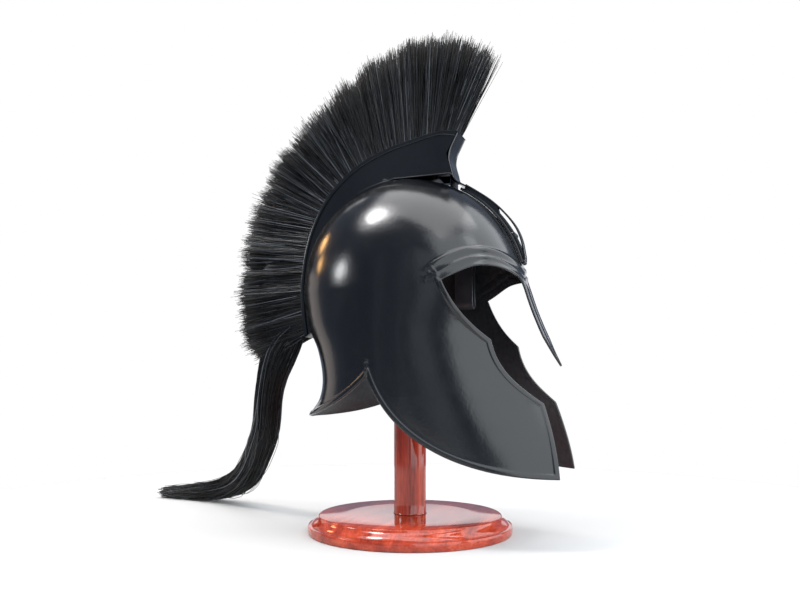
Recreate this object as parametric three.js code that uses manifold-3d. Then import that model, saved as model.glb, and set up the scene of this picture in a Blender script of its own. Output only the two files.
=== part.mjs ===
// A crested Greek helmet of painted sheet metal, standing on a turned wooden stand.
// Millimetres, +Z up. The origin is the middle of the stand's foot. The helmet faces -Y,
// so the wearer's right is -X, and the crest runs in the plane X = 0.
import * as THREE from 'three';
import { mergeVertices } from 'three/addons/utils/BufferGeometryUtils.js';
import Module from 'manifold-3d';

const wasm = await Module();
wasm.setup();

// ---------- driving dimensions ----------
const GAP = 0.3;                 // clearance between neighbouring pieces
const SHEET = 1.6;               // thickness of the helmet's sheet metal

const BOWL_FRONT = 118;          // reach of the widest level in front of the origin
const BOWL_REAR = 109.5;
const BOWL_HALF_WIDTH = 95;
const EQUATOR = 235;             // level of the widest section
const CROWN = 353;               // top of the bowl
const CROWN_LEAN = 3;            // how far the crown sits behind the middle

const CHEEK_TIP = [-156, 63];    // side-view points are [Y, Z]
const LOWER_NOTCH = [-140, 129];
const UPPER_NOTCH = [-98, 186];
const TEMPLE = [-60, 238];
const EAR_NOTCH = [11, 154];
const NECK_TIP = [106, 114];
const BROW_EDGE = 252;           // highest level of the eye openings

const NASAL_STATIONS = [         // [Y, Z, half width] down the nasal's middle line
  [-115.5, 250, 15.5],
  [-125, 222, 15.7],
  [-137.5, 190.5, 17.5],
  [-150.5, 165.5, 1.5],
];
const NASAL_RIDGE = 1;

const BEAD_SIZE = 2.4;           // half width of the brow's two raised beads
const BEAD_RISE = 1.5;
const BEAD_LIFTS = [7, 14];      // how far each bead runs above the eye openings
const BEAD_REACH = 1.2;          // angle from the middle to a bead's end, in radians
const BEAD_STEPS = 28;
const BEAD_ROOT = -0.5;          // a bead's edges lie this far under the surface

const CREST_WIDTH = 27;
const CREST_SHEET = 1.2;
const CREST_FLOOR = 2.5;         // the holder's floor above the bowl
const CREST_FOOT = 8;            // the foot flange bent out on each side
const CREST_NOTCH = [-42.5, 374];
const CREST_FRONT_BASE = [-49, 351];

const BRUSH_ROOT = 23;           // thickness of the brush in its holder
const BRUSH_SPREAD = 30;         // and at its cut ends

const STRIP_WIDTH = 16;
const STRIP_THICK = 1.8;
const BOW_WIDTH = 9;             // the raised band over the forehead strip
const BOW_THICK = 1.4;
const RIVET = [-107, 290];
const RIVET_RADIUS = 3;

const STRAP_WIDTH = 20;
const STRAP_THICK = 2.2;
const STRAP_FOLD = 4.5;          // inner radius of the hanging loop's fold
const STRAP_X = 67;
const STRAP_Y = -37;
const STRAP_TOP = 284;
const STRAP_BOTTOM = 229;

const BASE_RADIUS = 101.5;
const BASE_TOP_RADIUS = 91;
const BASE_HEIGHT = 18;
const POST_RADIUS = 16;
const POST_DOME = 7;             // height of the post's rounded top

// ---------- materials ----------
const paint = { color: 0x0c0e12, roughness: 0.22, metalness: 0.25 };
const finishes = {
  helmet: new THREE.MeshStandardMaterial(paint),
  hair: new THREE.MeshStandardMaterial({ color: 0x101114, roughness: 0.55, metalness: 0 }),
  leather: new THREE.MeshStandardMaterial({ color: 0x17181c, roughness: 0.6, metalness: 0 }),
  wood: new THREE.MeshStandardMaterial({ color: 0x6b1c10, roughness: 0.2, metalness: 0 }),
};

// ---------- helpers ----------
function solid(geometry) {
  const bare = geometry.clone();
  bare.deleteAttribute('normal');
  bare.deleteAttribute('uv');
  const merged = mergeVertices(bare, 1e-4);
  return new wasm.Manifold(new wasm.Mesh({
    numProp: 3,
    vertProperties: new Float32Array(merged.attributes.position.array),
    triVerts: new Uint32Array(merged.index.array),
  }));
}

function geometryOf(body) {
  const mesh = body.getMesh();
  const geometry = new THREE.BufferGeometry();
  geometry.setAttribute('position', new THREE.BufferAttribute(mesh.vertProperties, 3));
  geometry.setIndex(new THREE.BufferAttribute(mesh.triVerts, 1));
  geometry.computeVertexNormals();
  return geometry;
}

function piece(name, shape, finish) {
  const geometry = shape.isBufferGeometry ? shape : geometryOf(shape);
  const mesh = new THREE.Mesh(geometry, finishes[finish]);
  mesh.name = name;
  return mesh;
}

// A smooth function through hand-chosen [input, value] pairs, in rising order of input.
function through(knots) {
  const slope = knots.map((knot, i) => {
    const before = knots[Math.max(i - 1, 0)];
    const after = knots[Math.min(i + 1, knots.length - 1)];
    return (after[1] - before[1]) / (after[0] - before[0]);
  });
  return (x) => {
    let i = 0;
    while (i < knots.length - 2 && x > knots[i + 1][0]) i += 1;
    const width = knots[i + 1][0] - knots[i][0];
    const t = THREE.MathUtils.clamp((x - knots[i][0]) / width, 0, 1);
    const rise = t * t * (3 - 2 * t);
    const start = t * (1 - t) * (1 - t) * width * slope[i];
    const end = t * t * (t - 1) * width * slope[i + 1];
    return knots[i][1] + (knots[i + 1][1] - knots[i][1]) * rise + start + end;
  };
}

// A closed side-view outline [Y, Z] made into a prism that runs from X = -half to X = +half.
function sidePrism(shape, half, curveSteps = 10) {
  const options = { depth: 2 * half, bevelEnabled: false, curveSegments: curveSteps };
  const prism = new THREE.ExtrudeGeometry(shape, options);
  prism.applyMatrix4(new THREE.Matrix4().makeBasis(
    new THREE.Vector3(0, 1, 0),
    new THREE.Vector3(0, 0, 1),
    new THREE.Vector3(1, 0, 0),
  ));
  prism.translate(-half, 0, 0);
  return solid(prism);
}

// A smooth line through side-view points, as points again.
function smoothLine(points, steps) {
  return new THREE.SplineCurve(points.map(([y, z]) => new THREE.Vector2(y, z))).getPoints(steps);
}

// A closed body through rings of points. Every ring has the same number of points.
function loft(rings, startPole, endPole) {
  const count = rings[0].length;
  const positions = rings.flat().flatMap((p) => [p.x, p.y, p.z]);
  const index = [];
  for (let r = 0; r < rings.length - 1; r += 1) {
    for (let i = 0; i < count; i += 1) {
      const next = (i + 1) % count;
      const a = r * count + i;
      const b = r * count + next;
      const c = (r + 1) * count + next;
      const d = (r + 1) * count + i;
      index.push(a, d, c, a, c, b);
    }
  }
  const poles = [startPole, endPole];
  poles.forEach((pole, side) => {
    const centre = positions.length / 3;
    positions.push(pole.x, pole.y, pole.z);
    const first = side ? (rings.length - 1) * count : 0;
    for (let i = 0; i < count; i += 1) {
      const next = (i + 1) % count;
      if (side) index.push(centre, first + next, first + i);
      else index.push(centre, first + i, first + next);
    }
  });
  const geometry = new THREE.BufferGeometry();
  geometry.setAttribute('position', new THREE.Float32BufferAttribute(positions, 3));
  geometry.setIndex(index);
  return solid(geometry);
}

// ---------- the helmet's surface ----------
// Each level is one closed section: a half-ellipse behind and a fuller half in front.
const BOTTOM = 40;               // the surface runs on below the cheek tips, to be cut off
const CHEEK_START = 249;         // below this the section reaches forward ever faster
const CHEEK_SLOPE = 0.0645;
const CHEEK_CURVE = 0.00182;
const frontPower = through([[BOTTOM, 2.15], [190, 2.15], [EQUATOR, 2.6], [300, 2.2], [CROWN, 2]]);
const rearReach = through([
  [BOTTOM, 112], [114, 104], [132, 91.5], [152, 87.5], [180, 92.5],
  [205, 103.5], [EQUATOR, BOWL_REAR],
]);
const halfWidth = through([[BOTTOM, 80], [128, 87], [187, 92], [EQUATOR, BOWL_HALF_WIDTH]]);

function domeScale(level) {
  const climb = Math.max(level - EQUATOR, 0) / (CROWN - EQUATOR);
  return Math.sqrt(Math.max(1 - climb * climb, 0));
}

function section(level) {
  const scale = domeScale(level);
  const climb = Math.max(level - EQUATOR, 0) / (CROWN - EQUATOR);
  const drop = Math.max(CHEEK_START - level, 0);
  return {
    side: level < EQUATOR ? halfWidth(level) : BOWL_HALF_WIDTH * scale,
    rear: level < EQUATOR ? rearReach(level) : BOWL_REAR * scale,
    front: BOWL_FRONT * scale + drop * (CHEEK_SLOPE + CHEEK_CURVE * drop),
    middle: CROWN_LEAN * climb,
    power: 2 / frontPower(level),
  };
}

// The angle runs from 0 in front, past the wearer's left, to a half turn behind.
function onSurface(angle, level) {
  const { side, rear, front, middle, power } = section(level);
  const forward = Math.cos(angle);
  const across = Math.sin(angle);
  if (forward <= 0) return new THREE.Vector3(side * across, middle - rear * forward, level);
  const x = side * Math.sign(across) * Math.abs(across) ** power;
  return new THREE.Vector3(x, middle - front * forward ** power, level);
}

function normalAt(angle, level) {
  const step = 0.01;
  const up = Math.min(level + 0.5, CROWN - 0.01);
  const along = onSurface(angle + step, level).sub(onSurface(angle - step, level));
  const rise = onSurface(angle, up).sub(onSurface(angle, level - 0.5));
  return along.cross(rise).normalize();
}

const AROUND = 56;               // facets round the bowl
const DOME_ROWS = 12;
const WALL_ROWS = 15;

function surfaceBody(inset) {
  const levels = [];
  for (let row = 1; row <= DOME_ROWS; row += 1) {
    const fall = (row / DOME_ROWS) * (Math.PI / 2);
    levels.push(EQUATOR + (CROWN - EQUATOR) * Math.cos(fall));
  }
  for (let row = 1; row <= WALL_ROWS; row += 1) {
    levels.push(EQUATOR + ((BOTTOM - EQUATOR) * row) / WALL_ROWS);
  }
  const rings = levels.map((level) => Array.from({ length: AROUND }, (_, i) => {
    const angle = ((i + 0.5) / AROUND) * 2 * Math.PI;
    return onSurface(angle, level).addScaledVector(normalAt(angle, level), -inset);
  }));
  const last = rings.at(-1);
  if (inset > 0) last.forEach((p) => p.setZ(BOTTOM - 5));
  const top = new THREE.Vector3(0, CROWN_LEAN, CROWN - inset);
  return loft(rings, top, new THREE.Vector3(0, 0, last[0].z));
}

// ---------- the helmet shell ----------
const CUT_HALF = 130;            // the cutting prisms reach this far to each side
const CUT_FRONT = -260;
const CUT_REAR = 170;
const CUT_BELOW = 30;
const NASAL_ROOT = 243;

function faceOpening() {
  const below = CHEEK_TIP[1] - 40;
  const shape = new THREE.Shape();
  shape.moveTo(CUT_FRONT, below);
  shape.lineTo(CHEEK_TIP[0] - 4, below);
  shape.lineTo(...CHEEK_TIP);
  shape.quadraticCurveTo(-152, 95, ...LOWER_NOTCH);
  shape.bezierCurveTo(-118, 146, -103, 160, ...UPPER_NOTCH);
  shape.bezierCurveTo(-84, 198, -70, 212, ...TEMPLE);
  shape.bezierCurveTo(-70, 245, -80, BROW_EDGE, -94, BROW_EDGE);
  shape.bezierCurveTo(-105, BROW_EDGE, -112, 248, -120, NASAL_ROOT);
  shape.lineTo(CUT_FRONT, NASAL_ROOT);
  return sidePrism(shape, CUT_HALF);
}

function lowerTrim() {
  const shape = new THREE.Shape();
  shape.moveTo(CUT_REAR, CUT_BELOW);
  shape.lineTo(CUT_REAR, NECK_TIP[1]);
  shape.lineTo(...NECK_TIP);
  shape.quadraticCurveTo(45, 122, ...EAR_NOTCH);
  shape.bezierCurveTo(-4, 112, -40, 84, -91, 71);
  shape.quadraticCurveTo(-118, 64, ...CHEEK_TIP);
  shape.lineTo(CUT_FRONT, CHEEK_TIP[1]);
  shape.lineTo(CUT_FRONT, CUT_BELOW);
  return sidePrism(shape, CUT_HALF);
}

// The nasal is a narrow plate with a faint middle line, leaning forward down the nose.
function nasal() {
  const rings = NASAL_STATIONS.map(([y, z, half]) => {
    const edge = y + NASAL_RIDGE;
    return [
      new THREE.Vector3(-half, edge, z),
      new THREE.Vector3(0, y, z),
      new THREE.Vector3(half, edge, z),
      new THREE.Vector3(half, edge + SHEET, z),
      new THREE.Vector3(0, y + SHEET, z),
      new THREE.Vector3(-half, edge + SHEET, z),
    ];
  });
  const middle = (ring) => ring[1].clone().add(ring[4]).multiplyScalar(0.5);
  return loft(rings, middle(rings[0]), middle(rings.at(-1)));
}

// The eye opening's upper edge as a level for each angle from the middle of the brow.
const browLine = through([
  [0, 244], [0.3, 249], [0.6, BROW_EDGE], [0.85, BROW_EDGE - 2], [1.13, TEMPLE[1]], [1.3, 230],
]);

// A bead follows the brow over both eyes, from temple to temple.
function browBead(lift) {
  const rings = [];
  for (let i = 0; i <= BEAD_STEPS; i += 1) {
    const angle = BEAD_REACH * ((2 * i) / BEAD_STEPS - 1);
    const z = browLine(Math.abs(angle)) + lift * Math.cos(angle * 0.9);
    const out = normalAt(angle, z);
    const up = new THREE.Vector3(0, 0, 1).addScaledVector(out, -out.z).normalize();
    const centre = onSurface(angle, z);
    const shape = [
      [-BEAD_SIZE, BEAD_ROOT], [-BEAD_SIZE / 2, BEAD_RISE],
      [BEAD_SIZE / 2, BEAD_RISE], [BEAD_SIZE, BEAD_ROOT],
    ];
    rings.push(shape.map(([along, rise]) => (
      centre.clone().addScaledVector(up, along).addScaledVector(out, rise)
    )));
  }
  const middle = (ring) => ring[0].clone().add(ring[3]).multiplyScalar(0.5);
  return loft(rings, middle(rings[0]), middle(rings.at(-1)));
}

function helmetShell() {
  const wall = surfaceBody(0).subtract(surfaceBody(SHEET));
  const beaded = BEAD_LIFTS.reduce((body, lift) => body.add(browBead(lift)), wall);
  return beaded.subtract(faceOpening()).subtract(lowerTrim()).add(nasal());
}

// ---------- the crest holder ----------
const RIM_FRONT = [-54, 395];
const RIM_REAR = [112, 197];
const RIM = [
  RIM_FRONT, [-38, 397.5], [-15, 394], [22, 385], [55, 370], [86, 342],
  [107, 302], [116, 258], [116, 225], RIM_REAR,
];
const RIM_STEPS = 26;

// The holder's side view. The wall insets it at both ends, the rise lifts it past the rim.
function holderPrism(wall, rise, half) {
  const rim = smoothLine(RIM, RIM_STEPS).map(({ x, y }) => {
    const length = Math.hypot(x, y - EQUATOR);
    return [x * (1 + rise / length), y + ((y - EQUATOR) * rise) / length];
  });
  const stretch = 1 + rise / (RIM_FRONT[1] - CREST_NOTCH[1]);
  rim[0] = CREST_NOTCH.map((from, i) => from + (RIM_FRONT[i] - from) * stretch);
  rim[0][0] += wall;
  rim[rim.length - 1] = [RIM_REAR[0] + rise, RIM_REAR[1] + wall];
  const outline = [
    ...rim,
    [60, RIM_REAR[1] + wall],
    [0, 300],
    [CREST_FRONT_BASE[0] + wall, 330],
    [CREST_FRONT_BASE[0] + wall, CREST_FRONT_BASE[1]],
    [CREST_NOTCH[0] + wall, CREST_NOTCH[1]],
  ];
  return sidePrism(new THREE.Shape(outline.map(([y, z]) => new THREE.Vector2(y, z))), half);
}

function polygonPrism(points, half) {
  return sidePrism(new THREE.Shape(points.map(([y, z]) => new THREE.Vector2(y, z))), half);
}

// The foot flange lies on the bowl behind the crown and runs on level in front of it.
function holderFoot() {
  const half = CREST_WIDTH / 2 + CREST_FOOT;
  const low = CREST_FRONT_BASE[1] - CREST_SHEET / 2;
  const high = low + CREST_SHEET;
  const front = CREST_FRONT_BASE[0];
  const behind = [[-6, 300], [0, 300], [70, 205], [140, 205], [140, 400], [-6, 400]];
  const lying = surfaceBody(-GAP - CREST_SHEET).intersect(polygonPrism(behind, half));
  return lying.add(polygonPrism([[front, low], [2, low], [2, high], [front, high]], half));
}

// The front plate ends below in a narrow tongue that reaches down to the bowl.
function holderTongue() {
  const [y, z] = CREST_FRONT_BASE;
  return polygonPrism([[y, z], [y + 2, z], [y - 5, z - 11], [y - 8.5, z - 11]], STRIP_WIDTH * 0.4);
}

function crestHolder() {
  const inner = CREST_WIDTH / 2 - CREST_SHEET;
  const overRim = 8;
  const slot = holderPrism(CREST_SHEET, overRim, inner).subtract(surfaceBody(-CREST_FLOOR));
  return holderPrism(0, 0, CREST_WIDTH / 2)
    .add(holderFoot())
    .add(holderTongue())
    .subtract(surfaceBody(-GAP))
    .subtract(slot);
}

// ---------- the plume ----------
// Pairs of side-view points: where the hair leaves the rim, and its cut ends.
const FAN = [
  [[-51, 395], [-87, 468]],
  [[-38, 396.5], [-61, 483]],
  [[-15, 393], [-21, 490]],
  [[10, 387.5], [22, 484.5]],
  [[35, 379], [60, 464]],
  [[60, 366], [101, 432]],
  [[84, 343], [143, 391]],
  [[101, 314], [174, 338]],
  [[111, 282], [187, 289]],
  [[115, 250], [192, 243]],
  [[114, 222], [190, 206]],
  [[111, 200.5], [180, 180]],
];
const FAN_STEPS = 34;

function plumeBrush() {
  const roots = smoothLine(FAN.map((pair) => pair[0]), FAN_STEPS);
  const ends = smoothLine(FAN.map((pair) => pair[1]), FAN_STEPS);
  const root = BRUSH_ROOT / 2;
  const spread = BRUSH_SPREAD / 2;
  const cut = spread * 0.7;
  const outline = [[0, -root], [0, root], [0.9, spread], [1, cut], [1, -cut], [0.9, -spread]];
  const rings = roots.map((from, i) => outline.map(([reach, x]) => {
    const at = from.clone().lerp(ends[i], reach);
    return new THREE.Vector3(x, at.x, at.y);
  }));
  const middle = (ring) => ring[0].clone().add(ring[3]).multiplyScalar(0.5).setX(0);
  const fan = loft(rings, middle(rings[0]), middle(rings.at(-1)));
  const inner = CREST_WIDTH / 2 - CREST_SHEET - GAP;
  const block = holderPrism(CREST_SHEET + GAP, 0, inner).subtract(surfaceBody(-CREST_FLOOR - GAP));
  return fan.add(block);
}

// The tail hangs from the crest's lower end and lies out along the floor.
// Each station is [X, Y, Z, half depth, half width].
const TAIL = [
  [0, 151, 179, 27, 11],
  [1, 157, 166, 18, 13],
  [5, 162, 152, 15, 14],
  [12, 169, 130, 15, 15],
  [22, 176, 107, 15, 15],
  [33, 186, 90, 15.5, 15],
  [47, 201, 71, 15.5, 15],
  [62, 218, 52, 16, 15],
  [78, 240, 34, 15, 16],
  [97, 276, 18, 12, 16],
  [107, 322, 9, 7.5, 13],
  [110, 357, 5.5, 4.5, 9],
  [110, 386, 3.5, 2.5, 4],
];
const TAIL_SIDES = 12;
const TAIL_START = new THREE.Vector3(0, -0.31, -0.95);

function plumeTail() {
  const across = new THREE.Vector3(1, 0, 0);
  const centres = TAIL.map(([x, y, z]) => new THREE.Vector3(x, y, z));
  const rings = TAIL.map(([, , , depth, width], i) => {
    const before = centres[Math.max(i - 1, 0)];
    const after = centres[Math.min(i + 1, centres.length - 1)];
    const along = i === 0 ? TAIL_START.clone().normalize() : after.clone().sub(before).normalize();
    const back = along.clone().cross(across).normalize();
    const side = back.clone().cross(along);
    return Array.from({ length: TAIL_SIDES }, (_, k) => {
      const turn = (k / TAIL_SIDES) * 2 * Math.PI;
      return centres[i].clone()
        .addScaledVector(back, depth * Math.cos(turn))
        .addScaledVector(side, width * Math.sin(turn));
    });
  });
  return loft(rings, centres[0], centres.at(-1));
}

// ---------- the forehead strip ----------
// The bow's outer line in the side view, from the crest holder down to the brow.
const BOW = [
  [-60, 344], [-72, 336], [-85, 326.5], [-98, 314], [-109, 299.5], [-115, 285.5], [-118, 270],
];
const BOW_STEPS = 16;
const BOW_SPLIT = 0.4;           // the share of the bow that lies solid on the strip
const BOW_ROOT = 9;              // there it reaches this deep, into the bowl
const BOW_LOOP = [-117.5, 262.5];
const BOW_DOWN = [0.82, -0.57];  // the way from the bow's outer line to its inner one

function foreheadStrip() {
  const view = [[-58, 300], [-58, 400], [-160, 400], [-160, 262], [-100, 262]];
  const region = polygonPrism(view, STRIP_WIDTH / 2);
  const outer = smoothLine(BOW, BOW_STEPS).map(({ x, y }) => [x, y]);
  const inner = outer.map(([y, z], i) => {
    const depth = i < BOW_SPLIT * BOW_STEPS ? BOW_ROOT : BOW_THICK;
    return [y + depth * BOW_DOWN[0], z + depth * BOW_DOWN[1]];
  }).reverse();
  const loop = [BOW_LOOP, [-112.5, 262.5], [-112.5, 265]];
  const bow = polygonPrism([...outer, ...loop, ...inner], BOW_WIDTH / 2);
  const post = new THREE.CylinderGeometry(RIVET_RADIUS, RIVET_RADIUS, 5, 12);
  post.rotateX(Math.PI / 2 - 0.6);
  post.translate(0, ...RIVET);
  return surfaceBody(-GAP - STRIP_THICK)
    .add(bow)
    .add(solid(post))
    .intersect(region)
    .subtract(surfaceBody(-GAP));
}

// ---------- the liner straps ----------
// A doubled strap hangs inside each temple, folded at its lower end.
function linerStrap(side) {
  const outer = STRAP_FOLD + STRAP_THICK;
  const level = STRAP_BOTTOM + outer;
  const shape = new THREE.Shape();
  shape.moveTo(-outer, STRAP_TOP - 6);
  shape.lineTo(-outer, level);
  shape.absarc(0, level, outer, Math.PI, 0, false);
  shape.lineTo(outer, STRAP_TOP);
  shape.lineTo(STRAP_FOLD, STRAP_TOP);
  shape.lineTo(STRAP_FOLD, level);
  shape.absarc(0, level, STRAP_FOLD, 0, Math.PI, true);
  shape.lineTo(-STRAP_FOLD, STRAP_TOP - 6);
  const options = { depth: STRAP_WIDTH, bevelEnabled: false, curveSegments: 10 };
  const strap = new THREE.ExtrudeGeometry(shape, options);
  strap.rotateX(Math.PI / 2);
  strap.translate(0, STRAP_Y + STRAP_WIDTH / 2, 0);
  if (side < 0) strap.rotateZ(Math.PI).translate(0, 2 * STRAP_Y, 0);
  strap.translate(side * (STRAP_X + STRAP_FOLD), 0, 0);
  return strap;
}

// ---------- the stand ----------
function lathe(profile, steps) {
  const turned = new THREE.LatheGeometry(profile.map(([r, z]) => new THREE.Vector2(r, z)), steps);
  turned.rotateX(Math.PI / 2);
  return solid(turned);
}

function standBase() {
  const groove = 9;
  const ogee = [0, 0.25, 0.5, 0.75, 1].map((t) => {
    const turn = (t * Math.PI) / 2;
    const radius = BASE_TOP_RADIUS + (BASE_RADIUS - 1.5 - BASE_TOP_RADIUS) * Math.cos(turn);
    return [radius, groove + (BASE_HEIGHT - groove) * Math.sin(turn)];
  });
  return lathe([
    [0, 0], [BASE_RADIUS - 1, 0], [BASE_RADIUS, 1], [BASE_RADIUS, groove - 1.5],
    [BASE_RADIUS - 1, groove - 0.5], ...ogee, [0, BASE_HEIGHT],
  ], 72);
}

function standPost() {
  const foot = BASE_HEIGHT + GAP;
  const top = CROWN - SHEET - GAP - 0.2;
  const dome = [0.25, 0.5, 0.75].map((t) => {
    const turn = (t * Math.PI) / 2;
    return [POST_RADIUS * Math.cos(turn), top - POST_DOME + POST_DOME * Math.sin(turn)];
  });
  return lathe([
    [0, foot], [POST_RADIUS, foot], [POST_RADIUS, top - POST_DOME], ...dome, [0, top],
  ], 32);
}

// ---------- the object ----------
const helmet = new THREE.Group();
helmet.add(
  piece('helmet_shell', helmetShell(), 'helmet'),
  piece('crest_holder', crestHolder(), 'helmet'),
  piece('forehead_strip', foreheadStrip(), 'helmet'),
);

const plume = new THREE.Group();
plume.add(piece('plume_brush', plumeBrush(), 'hair'), piece('plume_tail', plumeTail(), 'hair'));

const liner = new THREE.Group();
liner.add(
  piece('liner_strap_left', linerStrap(1), 'leather'),
  piece('liner_strap_right', linerStrap(-1), 'leather'),
);

const stand = new THREE.Group();
stand.add(piece('stand_base', standBase(), 'wood'), piece('stand_post', standPost(), 'wood'));

const object = new THREE.Group();
object.add(helmet, plume, liner, stand);

export default object;
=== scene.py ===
"""A black-painted Greek crested helmet with a hair plume, on its turned wooden stand.

Shapes are worked out in millimetres, as on a workshop drawing, and turned into metres
when a mesh is made. +Z is up, the helmet faces -Y, and its left side is +X.
"""

import math

import bmesh
import bpy
import numpy as np
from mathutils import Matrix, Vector, kdtree, noise
from mathutils.geometry import delaunay_2d_cdt


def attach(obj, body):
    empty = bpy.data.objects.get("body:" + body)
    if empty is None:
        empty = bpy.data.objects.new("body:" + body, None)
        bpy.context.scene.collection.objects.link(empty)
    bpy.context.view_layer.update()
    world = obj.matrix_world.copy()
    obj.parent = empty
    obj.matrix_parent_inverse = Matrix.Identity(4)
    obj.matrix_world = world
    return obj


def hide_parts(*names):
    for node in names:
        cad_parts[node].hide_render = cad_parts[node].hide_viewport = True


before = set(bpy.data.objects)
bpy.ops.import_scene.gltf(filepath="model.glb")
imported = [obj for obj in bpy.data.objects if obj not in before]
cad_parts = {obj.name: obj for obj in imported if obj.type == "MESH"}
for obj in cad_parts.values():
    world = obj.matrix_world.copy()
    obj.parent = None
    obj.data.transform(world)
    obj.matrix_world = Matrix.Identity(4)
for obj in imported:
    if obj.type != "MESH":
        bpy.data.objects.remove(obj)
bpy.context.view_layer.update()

MM = 0.001
BODY = "root"

# ---------- driving dimensions, in millimetres ----------
SHEET = 1.6                      # the helmet's sheet metal
GAP = 0.3                        # clearance between neighbouring pieces
BOWL_FRONT = 118.0
BOWL_REAR = 109.5
BOWL_HALF_WIDTH = 95.0
EQUATOR = 235.0                  # level of the widest section
CROWN = 353.0
RISE = CROWN - EQUATOR
CROWN_LEAN = 3.0
CHEEK_START = 249.0
CHEEK_SLOPE = 0.0645
CHEEK_CURVE = 0.00182
BOTTOM = 40.0

CHEEK_TIP = (-156.0, 63.0)       # side-view points are (Y, Z)
LOWER_NOTCH = (-140.0, 129.0)
UPPER_NOTCH = (-98.0, 186.0)
TEMPLE = (-60.0, 238.0)
EAR_NOTCH = (11.0, 154.0)
NECK_TIP = (106.0, 114.0)

NASAL_TIP = 164.0                # the nasal's levels, and its half widths
NASAL_KINK = 190.5
NASAL_HALF = 15.5
NASAL_KINK_HALF = 17.5
NASAL_FILLET = 237.0
NASAL_FILLET_OUT = 24.0

CREST_HALF = 13.5
CREST_SHEET = 1.2
CREST_FOOT = 8.0
CREST_FRONT_BASE = (-49.0, 351.0)
CREST_NOTCH = (-42.5, 374.0)
RIM = (
    (-54, 395), (-38, 397.5), (-15, 394), (22, 385), (55, 370), (86, 342),
    (107, 302), (116, 258), (116, 225), (112, 197),
)

STRIP_HALF = 8.0
STRIP_THICK = 1.8
BOW = (
    (-60, 344), (-72, 336), (-85, 326.5), (-98, 314), (-109, 299.5), (-115, 285.5), (-118, 270),
)
BOW_HALF = 4.5
RIB_LIFT = 5.4                   # top of the strip's middle rib above the bowl

STRAP_WIDTH = 20.0
STRAP_THICK = 2.2
STRAP_FOLD = 4.5                 # inner radius of the hanging loop's fold
STRAP_X = 68.0
STRAP_Y = -38.0
STRAP_TOP = 284.0
STRAP_BOTTOM = 229.0

FAN = (                          # where the hair leaves the rim, and its cut ends
    ((-51, 395), (-88, 471)), ((-38, 396.5), (-61, 486)), ((-15, 393), (-21, 493)),
    ((10, 387.5), (22, 484.5)), ((35, 379), (60, 464)), ((60, 366), (101, 432)),
    ((84, 343), (143, 391)), ((101, 314), (174, 338)), ((111, 282), (187, 289)),
    ((115, 250), (192, 243)), ((114, 222), (190, 206)),
    ((111, 201.5), (181, 181)), ((110, 199.5), (171, 169)),
)
BRUSH_ROOT = 11.6                # half thickness of the brush at its roots and ends
BRUSH_END = 14.6

TAIL = (                         # X, Y, Z, half depth, half width
    (0, 128, 206, 12, 9), (0, 143, 190, 20, 11), (1, 153, 172, 19.5, 12.5), (5, 161.5, 152, 16.5, 13.5),
    (12, 169, 130, 15, 14), (22, 176, 107, 15, 14), (33, 186, 90, 15.5, 14),
    (47, 201, 71, 15.5, 14), (62, 218, 52, 16, 14), (78, 240, 34, 15, 15),
    (97, 276, 19, 12, 15), (107, 318, 11, 9.5, 14), (110, 350, 8.5, 7.5, 12), (111, 383, 6.5, 5.5, 9),
)

BASE_RADIUS = 101.5
BASE_TOP_RADIUS = 91.0
BASE_HEIGHT = 18.0
POST_RADIUS = 16.0
POST_DOME = 7.0
POST_CLEARANCE = 0.5


# ---------- numbers and curves ----------
def through(knots):
    """A smooth function through given (input, value) knots."""
    at = np.array(knots, float)
    before = np.vstack([at[:1], at[:-1]])
    after = np.vstack([at[1:], at[-1:]])
    slope = (after[:, 1] - before[:, 1]) / (after[:, 0] - before[:, 0])

    def value(x):
        x = np.asarray(x, float)
        i = np.clip(np.searchsorted(at[:, 0], x) - 1, 0, len(at) - 2)
        width = at[i + 1, 0] - at[i, 0]
        t = np.clip((x - at[i, 0]) / width, 0, 1)
        rise = t * t * (3 - 2 * t)
        bend = t * (1 - t) * width * ((1 - t) * slope[i] - t * slope[i + 1])
        return at[i, 1] + (at[i + 1, 1] - at[i, 1]) * rise + bend

    return value


def smoothstep(low, high, x):
    t = np.clip((np.asarray(x, float) - low) / (high - low), 0, 1)
    return t * t * (3 - 2 * t)


def bump(x, half):
    """A rounded ridge of height 1 that ends at plus and minus half."""
    t = np.clip(np.abs(x) / half, 0, 1)
    return 0.5 + 0.5 * np.cos(math.pi * t)


def bezier(points, steps):
    """Points on a quadratic or cubic curve with these control points."""
    points = np.array(points, float)
    t = np.linspace(0, 1, steps + 1)[:, None]
    while len(points) > 1:
        points = [a + (b - a) * t for a, b in zip(points[:-1], points[1:])]
    return points[0]


def spline(points, steps):
    """A smooth line through the points."""
    points = np.array(points, float)
    ghost = np.vstack([2 * points[0] - points[1], points, 2 * points[-1] - points[-2]])
    at = np.linspace(0, len(points) - 1, steps + 1)
    i = np.minimum(at.astype(int), len(points) - 2)
    t = (at - i)[:, None]
    a, b, c, d = (ghost[i + k] for k in range(4))
    return 0.5 * (2 * b + (c - a) * t + (2 * a - 5 * b + 4 * c - d) * t**2
                  + (3 * b - a - 3 * c + d) * t**3)


def even(points, gap=None, count=None):
    """The same line with evenly spaced points."""
    lengths = np.r_[0, np.cumsum(np.linalg.norm(np.diff(points, axis=0), axis=1))]
    count = count or max(int(round(lengths[-1] / gap)), 2)
    at = np.linspace(0, lengths[-1], count + 1)
    return np.stack([np.interp(at, lengths, points[:, k]) for k in range(points.shape[1])], 1)


def unit(vectors):
    length = np.linalg.norm(vectors, axis=-1, keepdims=True)
    return vectors / np.maximum(length, 1e-9)


# ---------- meshes ----------
def show(name, data):
    """An object that shows this data, in the scene."""
    made = bpy.data.objects.new(name, data)
    bpy.context.scene.collection.objects.link(made)
    return made


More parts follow.
